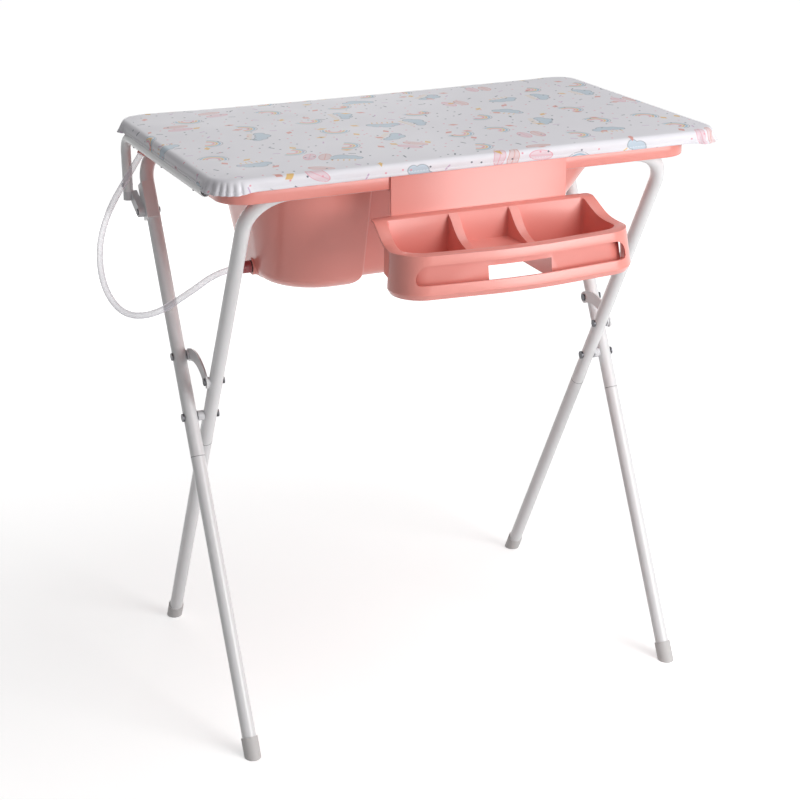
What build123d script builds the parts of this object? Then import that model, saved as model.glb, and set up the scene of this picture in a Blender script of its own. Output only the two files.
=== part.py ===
"""Folding changing table with a bathtub under its tilting top.

Built with X to the right, Y to the back, Z up, the floor at Z = 0 and Y = 0 in the plane of the two
scissor pivots. Every node is moved at the end, so that the origin lies under the middle of the table.
"""
from build123d import *
import math
import os

# Frame tubes
FRAME_TUBE_D = 22.2
FRAME_TUBE_WALL = 1.2
INNER_LEG_X = 338.0
LEG_STEP = 32.0
FRONT_FOOT_Y = -240.0
REAR_FOOT_Y = 265.0
PIVOT_Z = 476.0
REAR_RUN_Z = 869.0
FRONT_RUN_RISE = 5.5
FRAME_BEND_R = 62.0
SEAM_DROP = 56.0
NECK_LENGTH = 40.0
NECK_CLEARANCE = 0.1

# Foot caps
CAP_WALL = 1.9
CAP_BASE = 3.0
CAP_HEIGHT = 30.0
CAP_CLEARANCE = 0.05

# Scissor pivots and lock links
PIVOT_PIN_D = 6.0
PIVOT_HEAD_D = 13.0
PIVOT_HEAD_T = 2.5
PIVOT_SPACER_D = 16.0
LINK_T = 3.0
LINK_WIDTH = 20.0
LINK_SAGITTA = 14.0
LINK_UPPER_RISE = 86.7
LINK_LOWER_RISE = 67.6
LINK_PIN_D = 6.0
LINK_HEAD_D = 12.0
LINK_HEAD_T = 2.0
LINK_WASHER_D = 16.0
LINK_NOTCH_PLAY = 0.5
RUNNING_PLAY = 0.06
FACE_GAP = 0.1

# Changing top
TOP_SIDE_OVERHANG = 6.5
TOP_FRONT_OVERHANG = 14.0
TOP_REAR_OVERHANG = 13.0
TOP_CORNER_R = 42.0
TOP_EDGE_R = 8.0
HEM_WIDTH = 12.0
VINYL_T = 1.0
BOARD_T = 5.0
FOAM_T = 12.0
SOFT_GAP = 0.3

# Side tubes of the top and their hinges
SIDE_TUBE_D = 15.9
SIDE_TUBE_WALL = 1.2
SIDE_TUBE_STEP = 13.7
SIDE_TUBE_SETBACK = 61.0
SIDE_TUBE_BEND_R = 28.0
HINGE_DROP = 98.0
HINGE_OFFSET = 4.26
HINGE_ARM = 36.0
HINGE_RISE = 26.0
HINGE_PIN_D = 5.0
HINGE_HEAD_D = 10.0
HINGE_HEAD_T = 1.8
BLOCK_T = 10.0
BLOCK_EYE_R = 9.0
BLOCK_SPIGOT_LENGTH = 20.0
BLOCK_COLLAR_LENGTH = 14.0
BLOCK_RIVET_D = 4.0
BLOCK_RIVET_HEAD_D = 7.0
BRACKET_T = 1.5
BRACKET_ABOVE = 46.0
BRACKET_BELOW = 12.0
BRACKET_WRAP_SHARE = 0.55
TOP_SCREW_D = 4.0
TOP_SCREW_HEAD_D = 7.0
TOP_SCREW_HEAD_T = 1.4
TOP_SCREW_BITE = 4.0
TOP_SCREW_SHARES = (0.12, 0.5, 0.86)

# Bathtub
TUB_WALL = 3.0
RIM_LEFT_MARGIN = 15.0
RIM_RIGHT_MARGIN = 22.0
RIM_FRONT_MARGIN = 37.0
RIM_REAR_MARGIN = 4.85
RIM_CORNER_R = 45.0
RIM_FLANGE_DROP = 7.3
RIM_SEAT_GAP = 0.2
RIM_REST_GAP = 0.3
UPSTAND_HEIGHT = 11.2
UPSTAND_SETBACK = 83.0
FLANGE_SETBACK = 35.0
BOWL_LEFT_MARGIN = 38.0
BOWL_RIGHT_MARGIN = 27.0
BOWL_FRONT_GAP = 6.9
BOWL_REAR_GAP = 19.0
BOWL_LEFT_SLOPE = 28.0
BOWL_RIGHT_SLOPE = 143.0
BOWL_FRONT_SLOPE = 53.0
BOWL_REAR_SLOPE = 60.0
BOWL_DEPTH = 180.3
BOWL_FLOOR_EDGE_R = 24.0
BOWL_TOP_CORNER_SHARES = (0.28, 0.2, 0.2, 0.4)
BOWL_FLOOR_CORNER_SHARES = (0.354, 0.231, 0.231, 0.461)
RECESS_INSET = 1.0
RECESS_DEPTH = 48.0
RECESS_R = 14.0
RECESS_SLOPE_SHARE = 0.75

# Drain
DRAIN_Y = -50.0
DRAIN_RISE = 22.0
DRAIN_BOSS_R = 13.0
DRAIN_BOSS_LENGTH = 7.0
DRAIN_BORE_R = 6.0
DRAIN_STEM_R = 5.8
DRAIN_STEM_LENGTH = 18.0
DRAIN_GASKET_T = 1.5
DRAIN_NUT_R = 9.5
DRAIN_RIB_COUNT = 5
DRAIN_RIB_DEPTH = 1.2
DRAIN_RIB_SHARE = 0.5
DRAIN_BORE_INNER_R = 3.5

# Drain hose, from the outlet to the clip at the rim. The points are chosen by hand.
HOSE_D = 10.0
HOSE_POINTS = (
    (-293.0, -50.0, 722.0),
    (-327.0, -50.0, 722.0),
    (-374.0, -44.0, 692.0),
    (-424.0, -22.0, 656.0),
    (-463.0, 14.0, 650.0),
    (-482.0, 52.0, 686.0),
    (-476.0, 88.0, 741.0),
    (-450.0, 112.0, 790.0),
    (-415.0, 127.0, 832.0),
    (-388.0, 135.0, 866.0),
)
HOSE_RADIUS_SHARE = 0.45

# Hose clip under the rim's flange
CLIP_WALL = 3.0
CLIP_OUTER_WALL = 4.0
CLIP_WIDTH = 12.0
CLIP_GRIP = 5.0
CLIP_BASE = 4.0
CLIP_SEAT_R = 6.5
CLIP_SEAT_T = 5.0
CLIP_PLAY = 0.1

# Accessory tray
TRAY_HALF_PLATE = 140.0
TRAY_PLATE_T = 3.0
TRAY_PLATE_GAP = 0.2
TRAY_HOOK_T = 2.6
TRAY_SHIFT_X = 2.0
TRAY_HALF_BACK = 175.0
TRAY_HALF_FRONT = 183.0
TRAY_LOW_HALF_BACK = 175.0
TRAY_LOW_HALF_FRONT = 194.0
TRAY_LOW_FORWARD = 12.0
TRAY_FOOT_HEIGHT = 8.0
TRAY_FOOT_INSET = 5.0
TRAY_CORNER_DEPTH = 126.0
TRAY_BOW = 20.0
TRAY_CORNER_R = 48.0
TRAY_BACK_R = 5.0
TRAY_BOW_R = 600.0
TRAY_HANG = 42.3
TRAY_HEIGHT = 88.0
TRAY_LEDGE = 14.0
TRAY_WALL = 3.0
TRAY_RIM_WIDTH = 14.0
TRAY_FLOOR_RISE = 7.0
TRAY_MID_FLOOR_RISE = 37.0
TRAY_DIVIDER_LEFT_X = -51.5
TRAY_DIVIDER_RIGHT_X = 44.0
TRAY_DIVIDER_BACK_T = 15.0
TRAY_DIVIDER_FRONT_T = 7.0
TRAY_DIVIDER_DEPTHS = (14.0, 24.0, 34.0, 48.0, 74.0, 104.0)
TRAY_DIVIDER_DROPS = (3.0, 10.0, 21.0, 33.0, 43.0, 44.5)
TRAY_BAR_HEIGHT = 21.0
TRAY_BAND_DROP = 40.0
TRAY_SKIRT_BACK = 86.0
TRAY_OPENING_HALF = 164.0
TRAY_OPENING_BACK = 80.0
TRAY_OPENING_CORNER_SHARES = (0.2, 0.2, 0.75, 0.75)
TRAY_WING_DEPTHS = (14.0, 32.0, 54.0, 78.0, 106.0)
TRAY_WING_DROPS = (3.0, 12.0, 23.0, 27.5, 27.0)
TRAY_TAB_T = 3.0
TRAY_TAB_DEPTH = 24.0
TRAY_TAB_GAP = 0.3

OVERRUN = 200.0
CUT_OVER = 1.0

SIDES = (("left", -1), ("right", 1))
FRAME_R = FRAME_TUBE_D / 2
SIDE_TUBE_R = SIDE_TUBE_D / 2
OUTER_LEG_X = INNER_LEG_X + LEG_STEP
FRONT_RUN_Z = REAR_RUN_Z + FRONT_RUN_RISE
SEAM_Z = PIVOT_Z - SEAM_DROP


def outer_y(z):
    """Y of an outer leg's axis at a height: front foot, pivot, rear run."""
    return FRONT_FOOT_Y * (PIVOT_Z - z) / PIVOT_Z


def inner_y(z):
    """Y of an inner leg's axis at a height: rear foot, pivot, front run."""
    return REAR_FOOT_Y * (PIVOT_Z - z) / PIVOT_Z


# Heights and places that follow from the frame
RIM_UNDER_Z = REAR_RUN_Z + FRAME_R + RIM_SEAT_GAP
RIM_FRONT_UNDER_Z = FRONT_RUN_Z + FRAME_R + RIM_SEAT_GAP
LIP_TOP_Z = RIM_FRONT_UNDER_Z + TUB_WALL
RIM_TOP_Z = RIM_UNDER_Z + TUB_WALL + UPSTAND_HEIGHT
FLANGE_Z = RIM_UNDER_Z - RIM_FLANGE_DROP
RIM_LEFT_X = -OUTER_LEG_X - RIM_LEFT_MARGIN
RIM_RIGHT_X = INNER_LEG_X + RIM_RIGHT_MARGIN
RIM_FRONT_Y = inner_y(FRONT_RUN_Z) - RIM_FRONT_MARGIN
RIM_REAR_Y = outer_y(REAR_RUN_Z) + RIM_REAR_MARGIN
UPSTAND_END_Y = RIM_REAR_Y - UPSTAND_SETBACK
FLANGE_END_Y = RIM_REAR_Y - FLANGE_SETBACK
BOWL_TOP_LEFT_X = BOWL_LEFT_MARGIN - INNER_LEG_X
BOWL_TOP_RIGHT_X = INNER_LEG_X - BOWL_RIGHT_MARGIN
BOWL_TOP_FRONT_Y = inner_y(FRONT_RUN_Z) + FRAME_R + BOWL_FRONT_GAP
BOWL_TOP_REAR_Y = outer_y(REAR_RUN_Z) - FRAME_R - BOWL_REAR_GAP
BOWL_FLOOR_LEFT_X = BOWL_TOP_LEFT_X + BOWL_LEFT_SLOPE
BOWL_FLOOR_RIGHT_X = BOWL_TOP_RIGHT_X - BOWL_RIGHT_SLOPE
BOWL_FLOOR_FRONT_Y = BOWL_TOP_FRONT_Y + BOWL_FRONT_SLOPE
BOWL_FLOOR_REAR_Y = BOWL_TOP_REAR_Y - BOWL_REAR_SLOPE
BOWL_FLOOR_Z = RIM_UNDER_Z - BOWL_DEPTH
RECESS_LEFT_X = RECESS_INSET - TRAY_HALF_PLATE
DRAIN_Z = BOWL_FLOOR_Z + DRAIN_RISE
DRAIN_BOSS_X = BOWL_FLOOR_LEFT_X - DRAIN_BOSS_LENGTH
TRAY_TOP_Z = RIM_UNDER_Z - TRAY_HANG
TRAY_MID_DEPTH = TRAY_CORNER_DEPTH + TRAY_BOW
TRAY_BOTTOM_Z = TRAY_TOP_Z - TRAY_HEIGHT
TRAY_FLOOR_Z = TRAY_BOTTOM_Z + TRAY_FLOOR_RISE
TRAY_MID_FLOOR_Z = TRAY_BOTTOM_Z + TRAY_MID_FLOOR_RISE
TRAY_BAR_TOP_Z = TRAY_BOTTOM_Z + TRAY_BAR_HEIGHT
TRAY_BAND_BOTTOM_Z = TRAY_TOP_Z - TRAY_BAND_DROP

# Hinge line and changing top, which lies on the tub's upstand
HINGE_Z = REAR_RUN_Z - HINGE_DROP
HINGE_Y = outer_y(HINGE_Z) + HINGE_OFFSET
BRACKET_FACE = OUTER_LEG_X + FRAME_R + FACE_GAP + BRACKET_T
BLOCK_INNER = BRACKET_FACE + FACE_GAP
BLOCK_OUTER = BLOCK_INNER + BLOCK_T
SIDE_TUBE_X = BLOCK_INNER + SIDE_TUBE_STEP
TOP_HALF = SIDE_TUBE_X + TOP_SIDE_OVERHANG
TOP_FRONT_Y = RIM_FRONT_Y - TOP_FRONT_OVERHANG
TOP_REAR_Y = RIM_REAR_Y + TOP_REAR_OVERHANG
TOP_UNDERSIDE_Z = RIM_TOP_Z + RIM_REST_GAP
SIDE_TUBE_FRONT_Y = TOP_FRONT_Y + SIDE_TUBE_SETBACK
SIDE_TUBE_DROP_Y = HINGE_Y + HINGE_ARM
SIDE_TUBE_DROP_Z = HINGE_Z + HINGE_RISE


def rod(start, end, radius):
    """A solid cylinder between two points."""
    a = Vector(*start)
    b = Vector(*end)
    place = Plane(origin=a, z_dir=b - a)
    return place * Cylinder(radius, (b - a).length, align=(Align.CENTER, Align.CENTER, Align.MIN))


def rod_x(x0, x1, y, z, radius):
    """A solid cylinder along X between two places."""
    return rod((x0, y, z), (x1, y, z), radius)


def block(x0, x1, y0, y1, z0, z1):
    """A box given by its limits."""
    size = (x1 - x0, y1 - y0, z1 - z0)
    middle = ((x0 + x1) / 2, (y0 + y1) / 2, (z0 + z1) / 2)
    return Pos(*middle) * Box(*size)


def tube(points, radii, diameter, wall):
    """A bent tube along straight runs joined by arcs."""
    path = FilletPolyline(*points, radius=radii) if radii else Line(*points)
    start = Plane(origin=path @ 0, z_dir=path % 0)
    section = start * (Circle(diameter / 2) - Circle(diameter / 2 - wall))
    return sweep(section, path=path)


def outline(z, left, right, front, rear, radii):
    """A face with four rounded corners: front left, front right, rear right, rear left."""
    corners = ((left, front, z), (right, front, z), (right, rear, z), (left, rear, z))
    return make_face(FilletPolyline(*corners, radius=radii, close=True))


def slab(z0, z1, left, right, front, rear, radii):
    """A plate with four rounded corners."""
    return extrude(outline(z0, left, right, front, rear, radii), amount=z1 - z0, dir=(0, 0, 1))


def upper_frame(leg_x, leg_y, run_z):
    """One bent U: leg, top run and leg."""
    points = [(-leg_x, leg_y(SEAM_Z), SEAM_Z), (-leg_x, leg_y(run_z), run_z),
              (leg_x, leg_y(run_z), run_z), (leg_x, leg_y(SEAM_Z), SEAM_Z)]
    return tube(points, FRAME_BEND_R, FRAME_TUBE_D, FRAME_TUBE_WALL)


def leg_direction(leg_y):
    """Unit vector up a leg from its foot."""
    return Vector(0, leg_y(PIVOT_Z) - leg_y(0), PIVOT_Z).normalized()


def tube_end_above_floor(leg_y):
    """Distance along a leg from the floor to the square end of its tube."""
    up = leg_direction(leg_y)
    return (CAP_BASE + FRAME_R * abs(up.Y)) / up.Z


def lower_leg(leg_x, leg_y):
    """Lower leg tube with a reduced neck that plugs into the upper frame."""
    up = leg_direction(leg_y)
    foot = Vector(leg_x, leg_y(0), 0)
    seam = Vector(leg_x, leg_y(SEAM_Z), SEAM_Z)
    start = foot + up * tube_end_above_floor(leg_y)
    neck_r = FRAME_R - FRAME_TUBE_WALL - NECK_CLEARANCE
    body = rod(start, seam, FRAME_R) + rod(seam - up * CUT_OVER, seam + up * NECK_LENGTH, neck_r)
    return body - rod(start - up * CUT_OVER, seam + up * (NECK_LENGTH + CUT_OVER), neck_r - FRAME_TUBE_WALL)


def foot_cap(leg_x, leg_y):
    """Plastic cap round the tube's end, cut flat by the floor."""
    up = leg_direction(leg_y)
    foot = Vector(leg_x, leg_y(0), 0)
    outer_r = FRAME_R + CAP_CLEARANCE + CAP_WALL
    body = rod(foot - up * CAP_HEIGHT, foot + up * CAP_HEIGHT, outer_r)
    seat = foot + up * tube_end_above_floor(leg_y)
    body -= rod(seat, foot + up * (CAP_HEIGHT + CUT_OVER), FRAME_R + CAP_CLEARANCE)
    reach = outer_r + CAP_HEIGHT
    return body - block(leg_x - reach, leg_x + reach, foot.Y - reach, foot.Y + reach, -reach, 0)


def pivot_rivet(side):
    """Rivet through both legs and the spacer."""
    outer = side * (OUTER_LEG_X + FRAME_R)
    inner = side * (INNER_LEG_X - FRAME_R)
    pin = rod_x(outer, inner, 0, PIVOT_Z, PIVOT_PIN_D / 2)
    pin += rod_x(outer, outer + side * PIVOT_HEAD_T, 0, PIVOT_Z, PIVOT_HEAD_D / 2)
    return pin + rod_x(inner, inner - side * PIVOT_HEAD_T, 0, PIVOT_Z, PIVOT_HEAD_D / 2)


def pivot_spacer(side):
    """Plastic spacer between the legs, with a hole for the rivet."""
    x0 = side * (INNER_LEG_X + FRAME_R)
    x1 = side * (OUTER_LEG_X - FRAME_R)
    ring = rod_x(x0, x1, 0, PIVOT_Z, PIVOT_SPACER_D / 2)
    return ring - rod_x(x0 - side * CUT_OVER, x1 + side * CUT_OVER, 0, PIVOT_Z, PIVOT_PIN_D / 2)


LINK_UPPER = (outer_y(PIVOT_Z + LINK_UPPER_RISE), PIVOT_Z + LINK_UPPER_RISE)
LINK_LOWER = (inner_y(PIVOT_Z + LINK_LOWER_RISE), PIVOT_Z + LINK_LOWER_RISE)
LINK_MID_X = (OUTER_LEG_X - FRAME_R + INNER_LEG_X + FRAME_R) / 2


def link_arc(offset):
    """Arc of the link, shifted outward from its middle line: end, crown and end as (y, z)."""
    ay, az = LINK_UPPER
    by, bz = LINK_LOWER
    span = math.hypot(ay - by, az - bz)
    radius = (span * span / 4 + LINK_SAGITTA * LINK_SAGITTA) / (2 * LINK_SAGITTA)
    ny, nz = -(az - bz) / span, (ay - by) / span
    cy = (ay + by) / 2 - ny * (radius - LINK_SAGITTA)
    cz = (az + bz) / 2 - nz * (radius - LINK_SAGITTA)
    scale = (radius + offset) / radius
    ends = [(cy + (y - cy) * scale, cz + (z - cz) * scale) for y, z in (LINK_UPPER, LINK_LOWER)]
    return ends[0], (cy + ny * (radius + offset), cz + nz * (radius + offset)), ends[1]


def lock_link(side):
    """Curved flat bar: an eye on the outer leg's rivet, a hook that drops over the inner leg's stud."""
    half = LINK_WIDTH / 2
    x0 = side * (LINK_MID_X - LINK_T / 2)
    outer = [(x0, y, z) for y, z in link_arc(half)]
    inner = [(x0, y, z) for y, z in link_arc(-half)]
    edges = [ThreePointArc(*outer), Line(outer[2], inner[2]), ThreePointArc(*inner), Line(inner[0], outer[0])]
    face = make_face(Wire(edges))
    bar = extrude(face, amount=LINK_T, dir=(side, 0, 0))
    x1 = x0 + side * LINK_T
    for y, z in (LINK_UPPER, LINK_LOWER):
        bar += rod_x(x0, x1, y, z, half)
    over = side * CUT_OVER
    uy, uz = LINK_UPPER
    bar -= rod_x(x0 - over, x1 + over, uy, uz, LINK_PIN_D / 2 + RUNNING_PLAY)
    ly, lz = LINK_LOWER
    notch_r = LINK_PIN_D / 2 + LINK_NOTCH_PLAY
    bar -= rod_x(x0 - over, x1 + over, ly, lz, notch_r)
    slot = Pos(side * LINK_MID_X, 0, -LINK_WIDTH) * Box(LINK_T + 2 * CUT_OVER, 2 * notch_r, 2 * LINK_WIDTH)
    return bar - Pos(0, ly, lz) * Rot(link_slot_turn(), 0, 0) * slot


def link_slot_turn():
    """Turn about X that points the slot along the way the hook leaves the stud."""
    ay, az = LINK_UPPER
    by, bz = LINK_LOWER
    return math.degrees(math.atan2(az - bz, ay - by))


def link_rivet(side):
    """Rivet through the outer leg that carries the link's eye."""
    y, z = LINK_UPPER
    outer = side * (OUTER_LEG_X + FRAME_R)
    inner = side * (LINK_MID_X - LINK_T / 2 - FACE_GAP)
    pin = rod_x(outer, inner, y, z, LINK_PIN_D / 2)
    pin += rod_x(outer, outer + side * LINK_HEAD_T, y, z, LINK_HEAD_D / 2)
    return pin + rod_x(inner, inner - side * LINK_HEAD_T, y, z, LINK_HEAD_D / 2)


def link_stud(side):
    """Stud through the inner leg that the link hooks over."""
    y, z = LINK_LOWER
    inner = side * (INNER_LEG_X - FRAME_R)
    outer = side * (LINK_MID_X + LINK_T / 2 + FACE_GAP)
    pin = rod_x(inner, outer, y, z, LINK_PIN_D / 2)
    pin += rod_x(inner, inner - side * LINK_HEAD_T, y, z, LINK_HEAD_D / 2)
    return pin + rod_x(outer, outer + side * LINK_HEAD_T, y, z, LINK_HEAD_D / 2)


def link_washer(side, place, leg_face, link_face):
    """Spacer washer between a leg and the link."""
    y, z = place
    ring = rod_x(side * leg_face, side * link_face, y, z, LINK_WASHER_D / 2)
    return ring - rod_x(side * (leg_face - OVERRUN), side * (link_face + OVERRUN), y, z, LINK_PIN_D / 2)


def hinge_bracket(side):
    """Steel channel round the outer leg that carries the top's hinge."""
    up = leg_direction(outer_y)
    centre = Vector(side * OUTER_LEG_X, outer_y(HINGE_Z), HINGE_Z)
    low = centre - up * BRACKET_BELOW
    length = BRACKET_ABOVE + BRACKET_BELOW
    outer_half = FRAME_R + FACE_GAP + BRACKET_T
    place = Plane(origin=low, x_dir=(side, 0, 0), z_dir=up)
    reach = FRAME_R * BRACKET_WRAP_SHARE
    body = Pos((outer_half - reach) / 2, 0, length / 2) * Box(outer_half + reach, 2 * outer_half, length)
    hollow = Pos(0, 0, length / 2) * Cylinder(FRAME_R + FACE_GAP, length + 2 * CUT_OVER)
    inner_half = FRAME_R + FACE_GAP
    hollow += Pos(-inner_half / 2, 0, length / 2) * Box(inner_half, 2 * inner_half, length + 2 * CUT_OVER)
    channel = place * (body - hollow)
    return channel - rod_x(side * OVERRUN, side * (OVERRUN + OUTER_LEG_X), HINGE_Y, HINGE_Z, HINGE_PIN_D / 2)


def hinge_rivet(side):
    """Rivet through the leg, its bracket and the hinge block's eye."""
    inner = side * (OUTER_LEG_X - FRAME_R)
    outer = side * (BLOCK_OUTER + FACE_GAP)
    pin = rod_x(inner, outer, HINGE_Y, HINGE_Z, HINGE_PIN_D / 2)
    pin += rod_x(inner, inner - side * HINGE_HEAD_T, HINGE_Y, HINGE_Z, HINGE_HEAD_D / 2)
    return pin + rod_x(outer, outer + side * HINGE_HEAD_T, HINGE_Y, HINGE_Z, HINGE_HEAD_D / 2)


def hinge_block(side):
    """Moulded block: spigot in the side tube, collar under its end and an eye on the hinge rivet."""
    x0 = side * BLOCK_INNER
    x1 = side * BLOCK_OUTER
    top_z = SIDE_TUBE_DROP_Z - SIDE_TUBE_R
    eye = Pos(HINGE_Y, HINGE_Z) * Circle(BLOCK_EYE_R)
    head = Pos(SIDE_TUBE_DROP_Y, top_z) * Circle(SIDE_TUBE_R)
    flat = make_hull(eye.edges() + head.edges())
    plane = Plane(origin=(x0, 0, 0), x_dir=(0, 1, 0), z_dir=(1, 0, 0))
    body = extrude(plane * flat, amount=BLOCK_T, dir=(side, 0, 0))
    axis = (side * SIDE_TUBE_X, SIDE_TUBE_DROP_Y)
    body += rod((*axis, SIDE_TUBE_DROP_Z - BLOCK_COLLAR_LENGTH), (*axis, SIDE_TUBE_DROP_Z), SIDE_TUBE_R)
    spigot_r = SIDE_TUBE_R - SIDE_TUBE_WALL - FACE_GAP
    spigot_top = SIDE_TUBE_DROP_Z + BLOCK_SPIGOT_LENGTH
    body += rod((*axis, SIDE_TUBE_DROP_Z - CUT_OVER), (*axis, spigot_top), spigot_r)
    eye_r = HINGE_PIN_D / 2 + RUNNING_PLAY
    body -= rod_x(x0 - side * CUT_OVER, x1 + side * CUT_OVER, HINGE_Y, HINGE_Z, eye_r)
    return body - block_rivet_hole(side)


def block_rivet_z():
    """Height of the rivet through a side tube and its block."""
    return SIDE_TUBE_DROP_Z + BLOCK_SPIGOT_LENGTH / 2


def block_rivet_hole(side):
    """Cutter for the rivet's hole."""
    ends = (side * SIDE_TUBE_X - SIDE_TUBE_D, side * SIDE_TUBE_X + SIDE_TUBE_D)
    return rod_x(*ends, SIDE_TUBE_DROP_Y, block_rivet_z(), BLOCK_RIVET_D / 2)


def block_rivet(side):
    """Rivet through a side tube and its hinge block."""
    y, z = SIDE_TUBE_DROP_Y, block_rivet_z()
    outer = side * (SIDE_TUBE_X + SIDE_TUBE_R)
    inner = side * (SIDE_TUBE_X - SIDE_TUBE_R)
    pin = rod_x(inner, outer, y, z, BLOCK_RIVET_D / 2)
    head = rod_x(outer, outer + side * HINGE_HEAD_T, y, z, BLOCK_RIVET_HEAD_D / 2)
    return pin + head


def top_screw_places(side):
    """Places of the screws from a side tube into the board."""
    run = SIDE_TUBE_DROP_Y - SIDE_TUBE_FRONT_Y
    return [(side * SIDE_TUBE_X, SIDE_TUBE_FRONT_Y + run * share) for share in TOP_SCREW_SHARES]


def side_tube(side):
    """Side tube of the top: open at the front, bent down to the hinge at the back."""
    z = TOP_UNDERSIDE_Z - SIDE_TUBE_R
    x = side * SIDE_TUBE_X
    points = [(x, SIDE_TUBE_FRONT_Y, z), (x, SIDE_TUBE_DROP_Y, z), (x, SIDE_TUBE_DROP_Y, SIDE_TUBE_DROP_Z)]
    body = tube(points, SIDE_TUBE_BEND_R, SIDE_TUBE_D, SIDE_TUBE_WALL) - block_rivet_hole(side)
    for px, py in top_screw_places(side):
        body -= rod((px, py, z - SIDE_TUBE_D), (px, py, z + SIDE_TUBE_D), TOP_SCREW_D / 2)
    return body


def top_screw(x, y):
    """Screw up through the side tube and the cover's hem into the board."""
    under = TOP_UNDERSIDE_Z - SIDE_TUBE_D
    shank = rod((x, y, under), (x, y, TOP_UNDERSIDE_Z + VINYL_T + TOP_SCREW_BITE), TOP_SCREW_D / 2)
    return shank + rod((x, y, under - TOP_SCREW_HEAD_T), (x, y, under), TOP_SCREW_HEAD_D / 2)


def top_screw_holes():
    """Cutter for all the screws in the hem and the board."""
    holes = None
    for _, side in SIDES:
        for x, y in top_screw_places(side):
            hole = rod((x, y, TOP_UNDERSIDE_Z - CUT_OVER), (x, y, TOP_UNDERSIDE_Z + VINYL_T + TOP_SCREW_BITE),
                       TOP_SCREW_D / 2)
            holes = hole if holes is None else holes + hole
    return holes


def top_slab(z0, z1, inset):
    """A layer of the changing top, drawn in from the skirt by an inset."""
    half = TOP_HALF - inset
    return slab(z0, z1, -half, half, TOP_FRONT_Y + inset, TOP_REAR_Y - inset, TOP_CORNER_R - inset)


BOARD_Z = TOP_UNDERSIDE_Z + VINYL_T
FOAM_Z = BOARD_Z + BOARD_T
TOP_Z = FOAM_Z + FOAM_T + VINYL_T


def changing_board():
    """Flat board that carries the mat."""
    return top_slab(BOARD_Z, FOAM_Z, VINYL_T) - top_screw_holes()


def mat_foam():
    """Foam pad on the board, rounded along its upper edge."""
    pad = top_slab(FOAM_Z, FOAM_Z + FOAM_T, VINYL_T)
    return fillet(pad.faces().sort_by(Axis.Z)[-1].edges(), TOP_EDGE_R - VINYL_T)


def mat_cover():
    """Vinyl cover: top, skirt and a hem turned in under the board."""
    cover = top_slab(TOP_UNDERSIDE_Z, TOP_Z, 0)
    cover = fillet(cover.faces().sort_by(Axis.Z)[-1].edges(), TOP_EDGE_R)
    inside = top_slab(BOARD_Z, TOP_Z - VINYL_T, VINYL_T)
    inside = fillet(inside.faces().sort_by(Axis.Z)[-1].edges(), TOP_EDGE_R - VINYL_T)
    mouth = top_slab(TOP_UNDERSIDE_Z - CUT_OVER, BOARD_Z, HEM_WIDTH)
    return cover - inside - mouth - top_screw_holes()


def bowl(inset):
    """Bowl as a solid: round deep end on the left, sloped back on the right, stepped front."""
    top_depth = BOWL_TOP_REAR_Y - BOWL_TOP_FRONT_Y
    floor_depth = BOWL_FLOOR_REAR_Y - BOWL_FLOOR_FRONT_Y
    top_radii = [share * top_depth - inset for share in BOWL_TOP_CORNER_SHARES]
    floor_radii = [share * floor_depth - inset for share in BOWL_FLOOR_CORNER_SHARES]
    top = outline(LIP_TOP_Z, BOWL_TOP_LEFT_X + inset, BOWL_TOP_RIGHT_X - inset,
                  BOWL_TOP_FRONT_Y + inset, BOWL_TOP_REAR_Y - inset, top_radii)
    floor = outline(BOWL_FLOOR_Z + inset, BOWL_FLOOR_LEFT_X + inset, BOWL_FLOOR_RIGHT_X - inset,
                    BOWL_FLOOR_FRONT_Y + inset, BOWL_FLOOR_REAR_Y - inset, floor_radii)
    body = loft([floor, top], ruled=True)
    body = fillet(body.faces().sort_by(Axis.Z)[0].edges(), BOWL_FLOOR_EDGE_R - inset)
    return body - recess(inset)


def recess(inset):
    """Cutter for the step in the front wall behind the tray."""
    left = RECESS_LEFT_X - inset
    back = BOWL_TOP_FRONT_Y + RECESS_DEPTH + inset
    radii = [RECESS_R, RECESS_R, RECESS_R, RECESS_R + inset]
    top = outline(LIP_TOP_Z + CUT_OVER, left, left + 2 * OUTER_LEG_X, back - OVERRUN, back, radii)
    low = outline(BOWL_FLOOR_Z - CUT_OVER, left, left + 2 * OUTER_LEG_X, back - OVERRUN,
                  back + BOWL_FRONT_SLOPE * RECESS_SLOPE_SHARE, radii)
    return loft([low, top], ruled=True)


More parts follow.
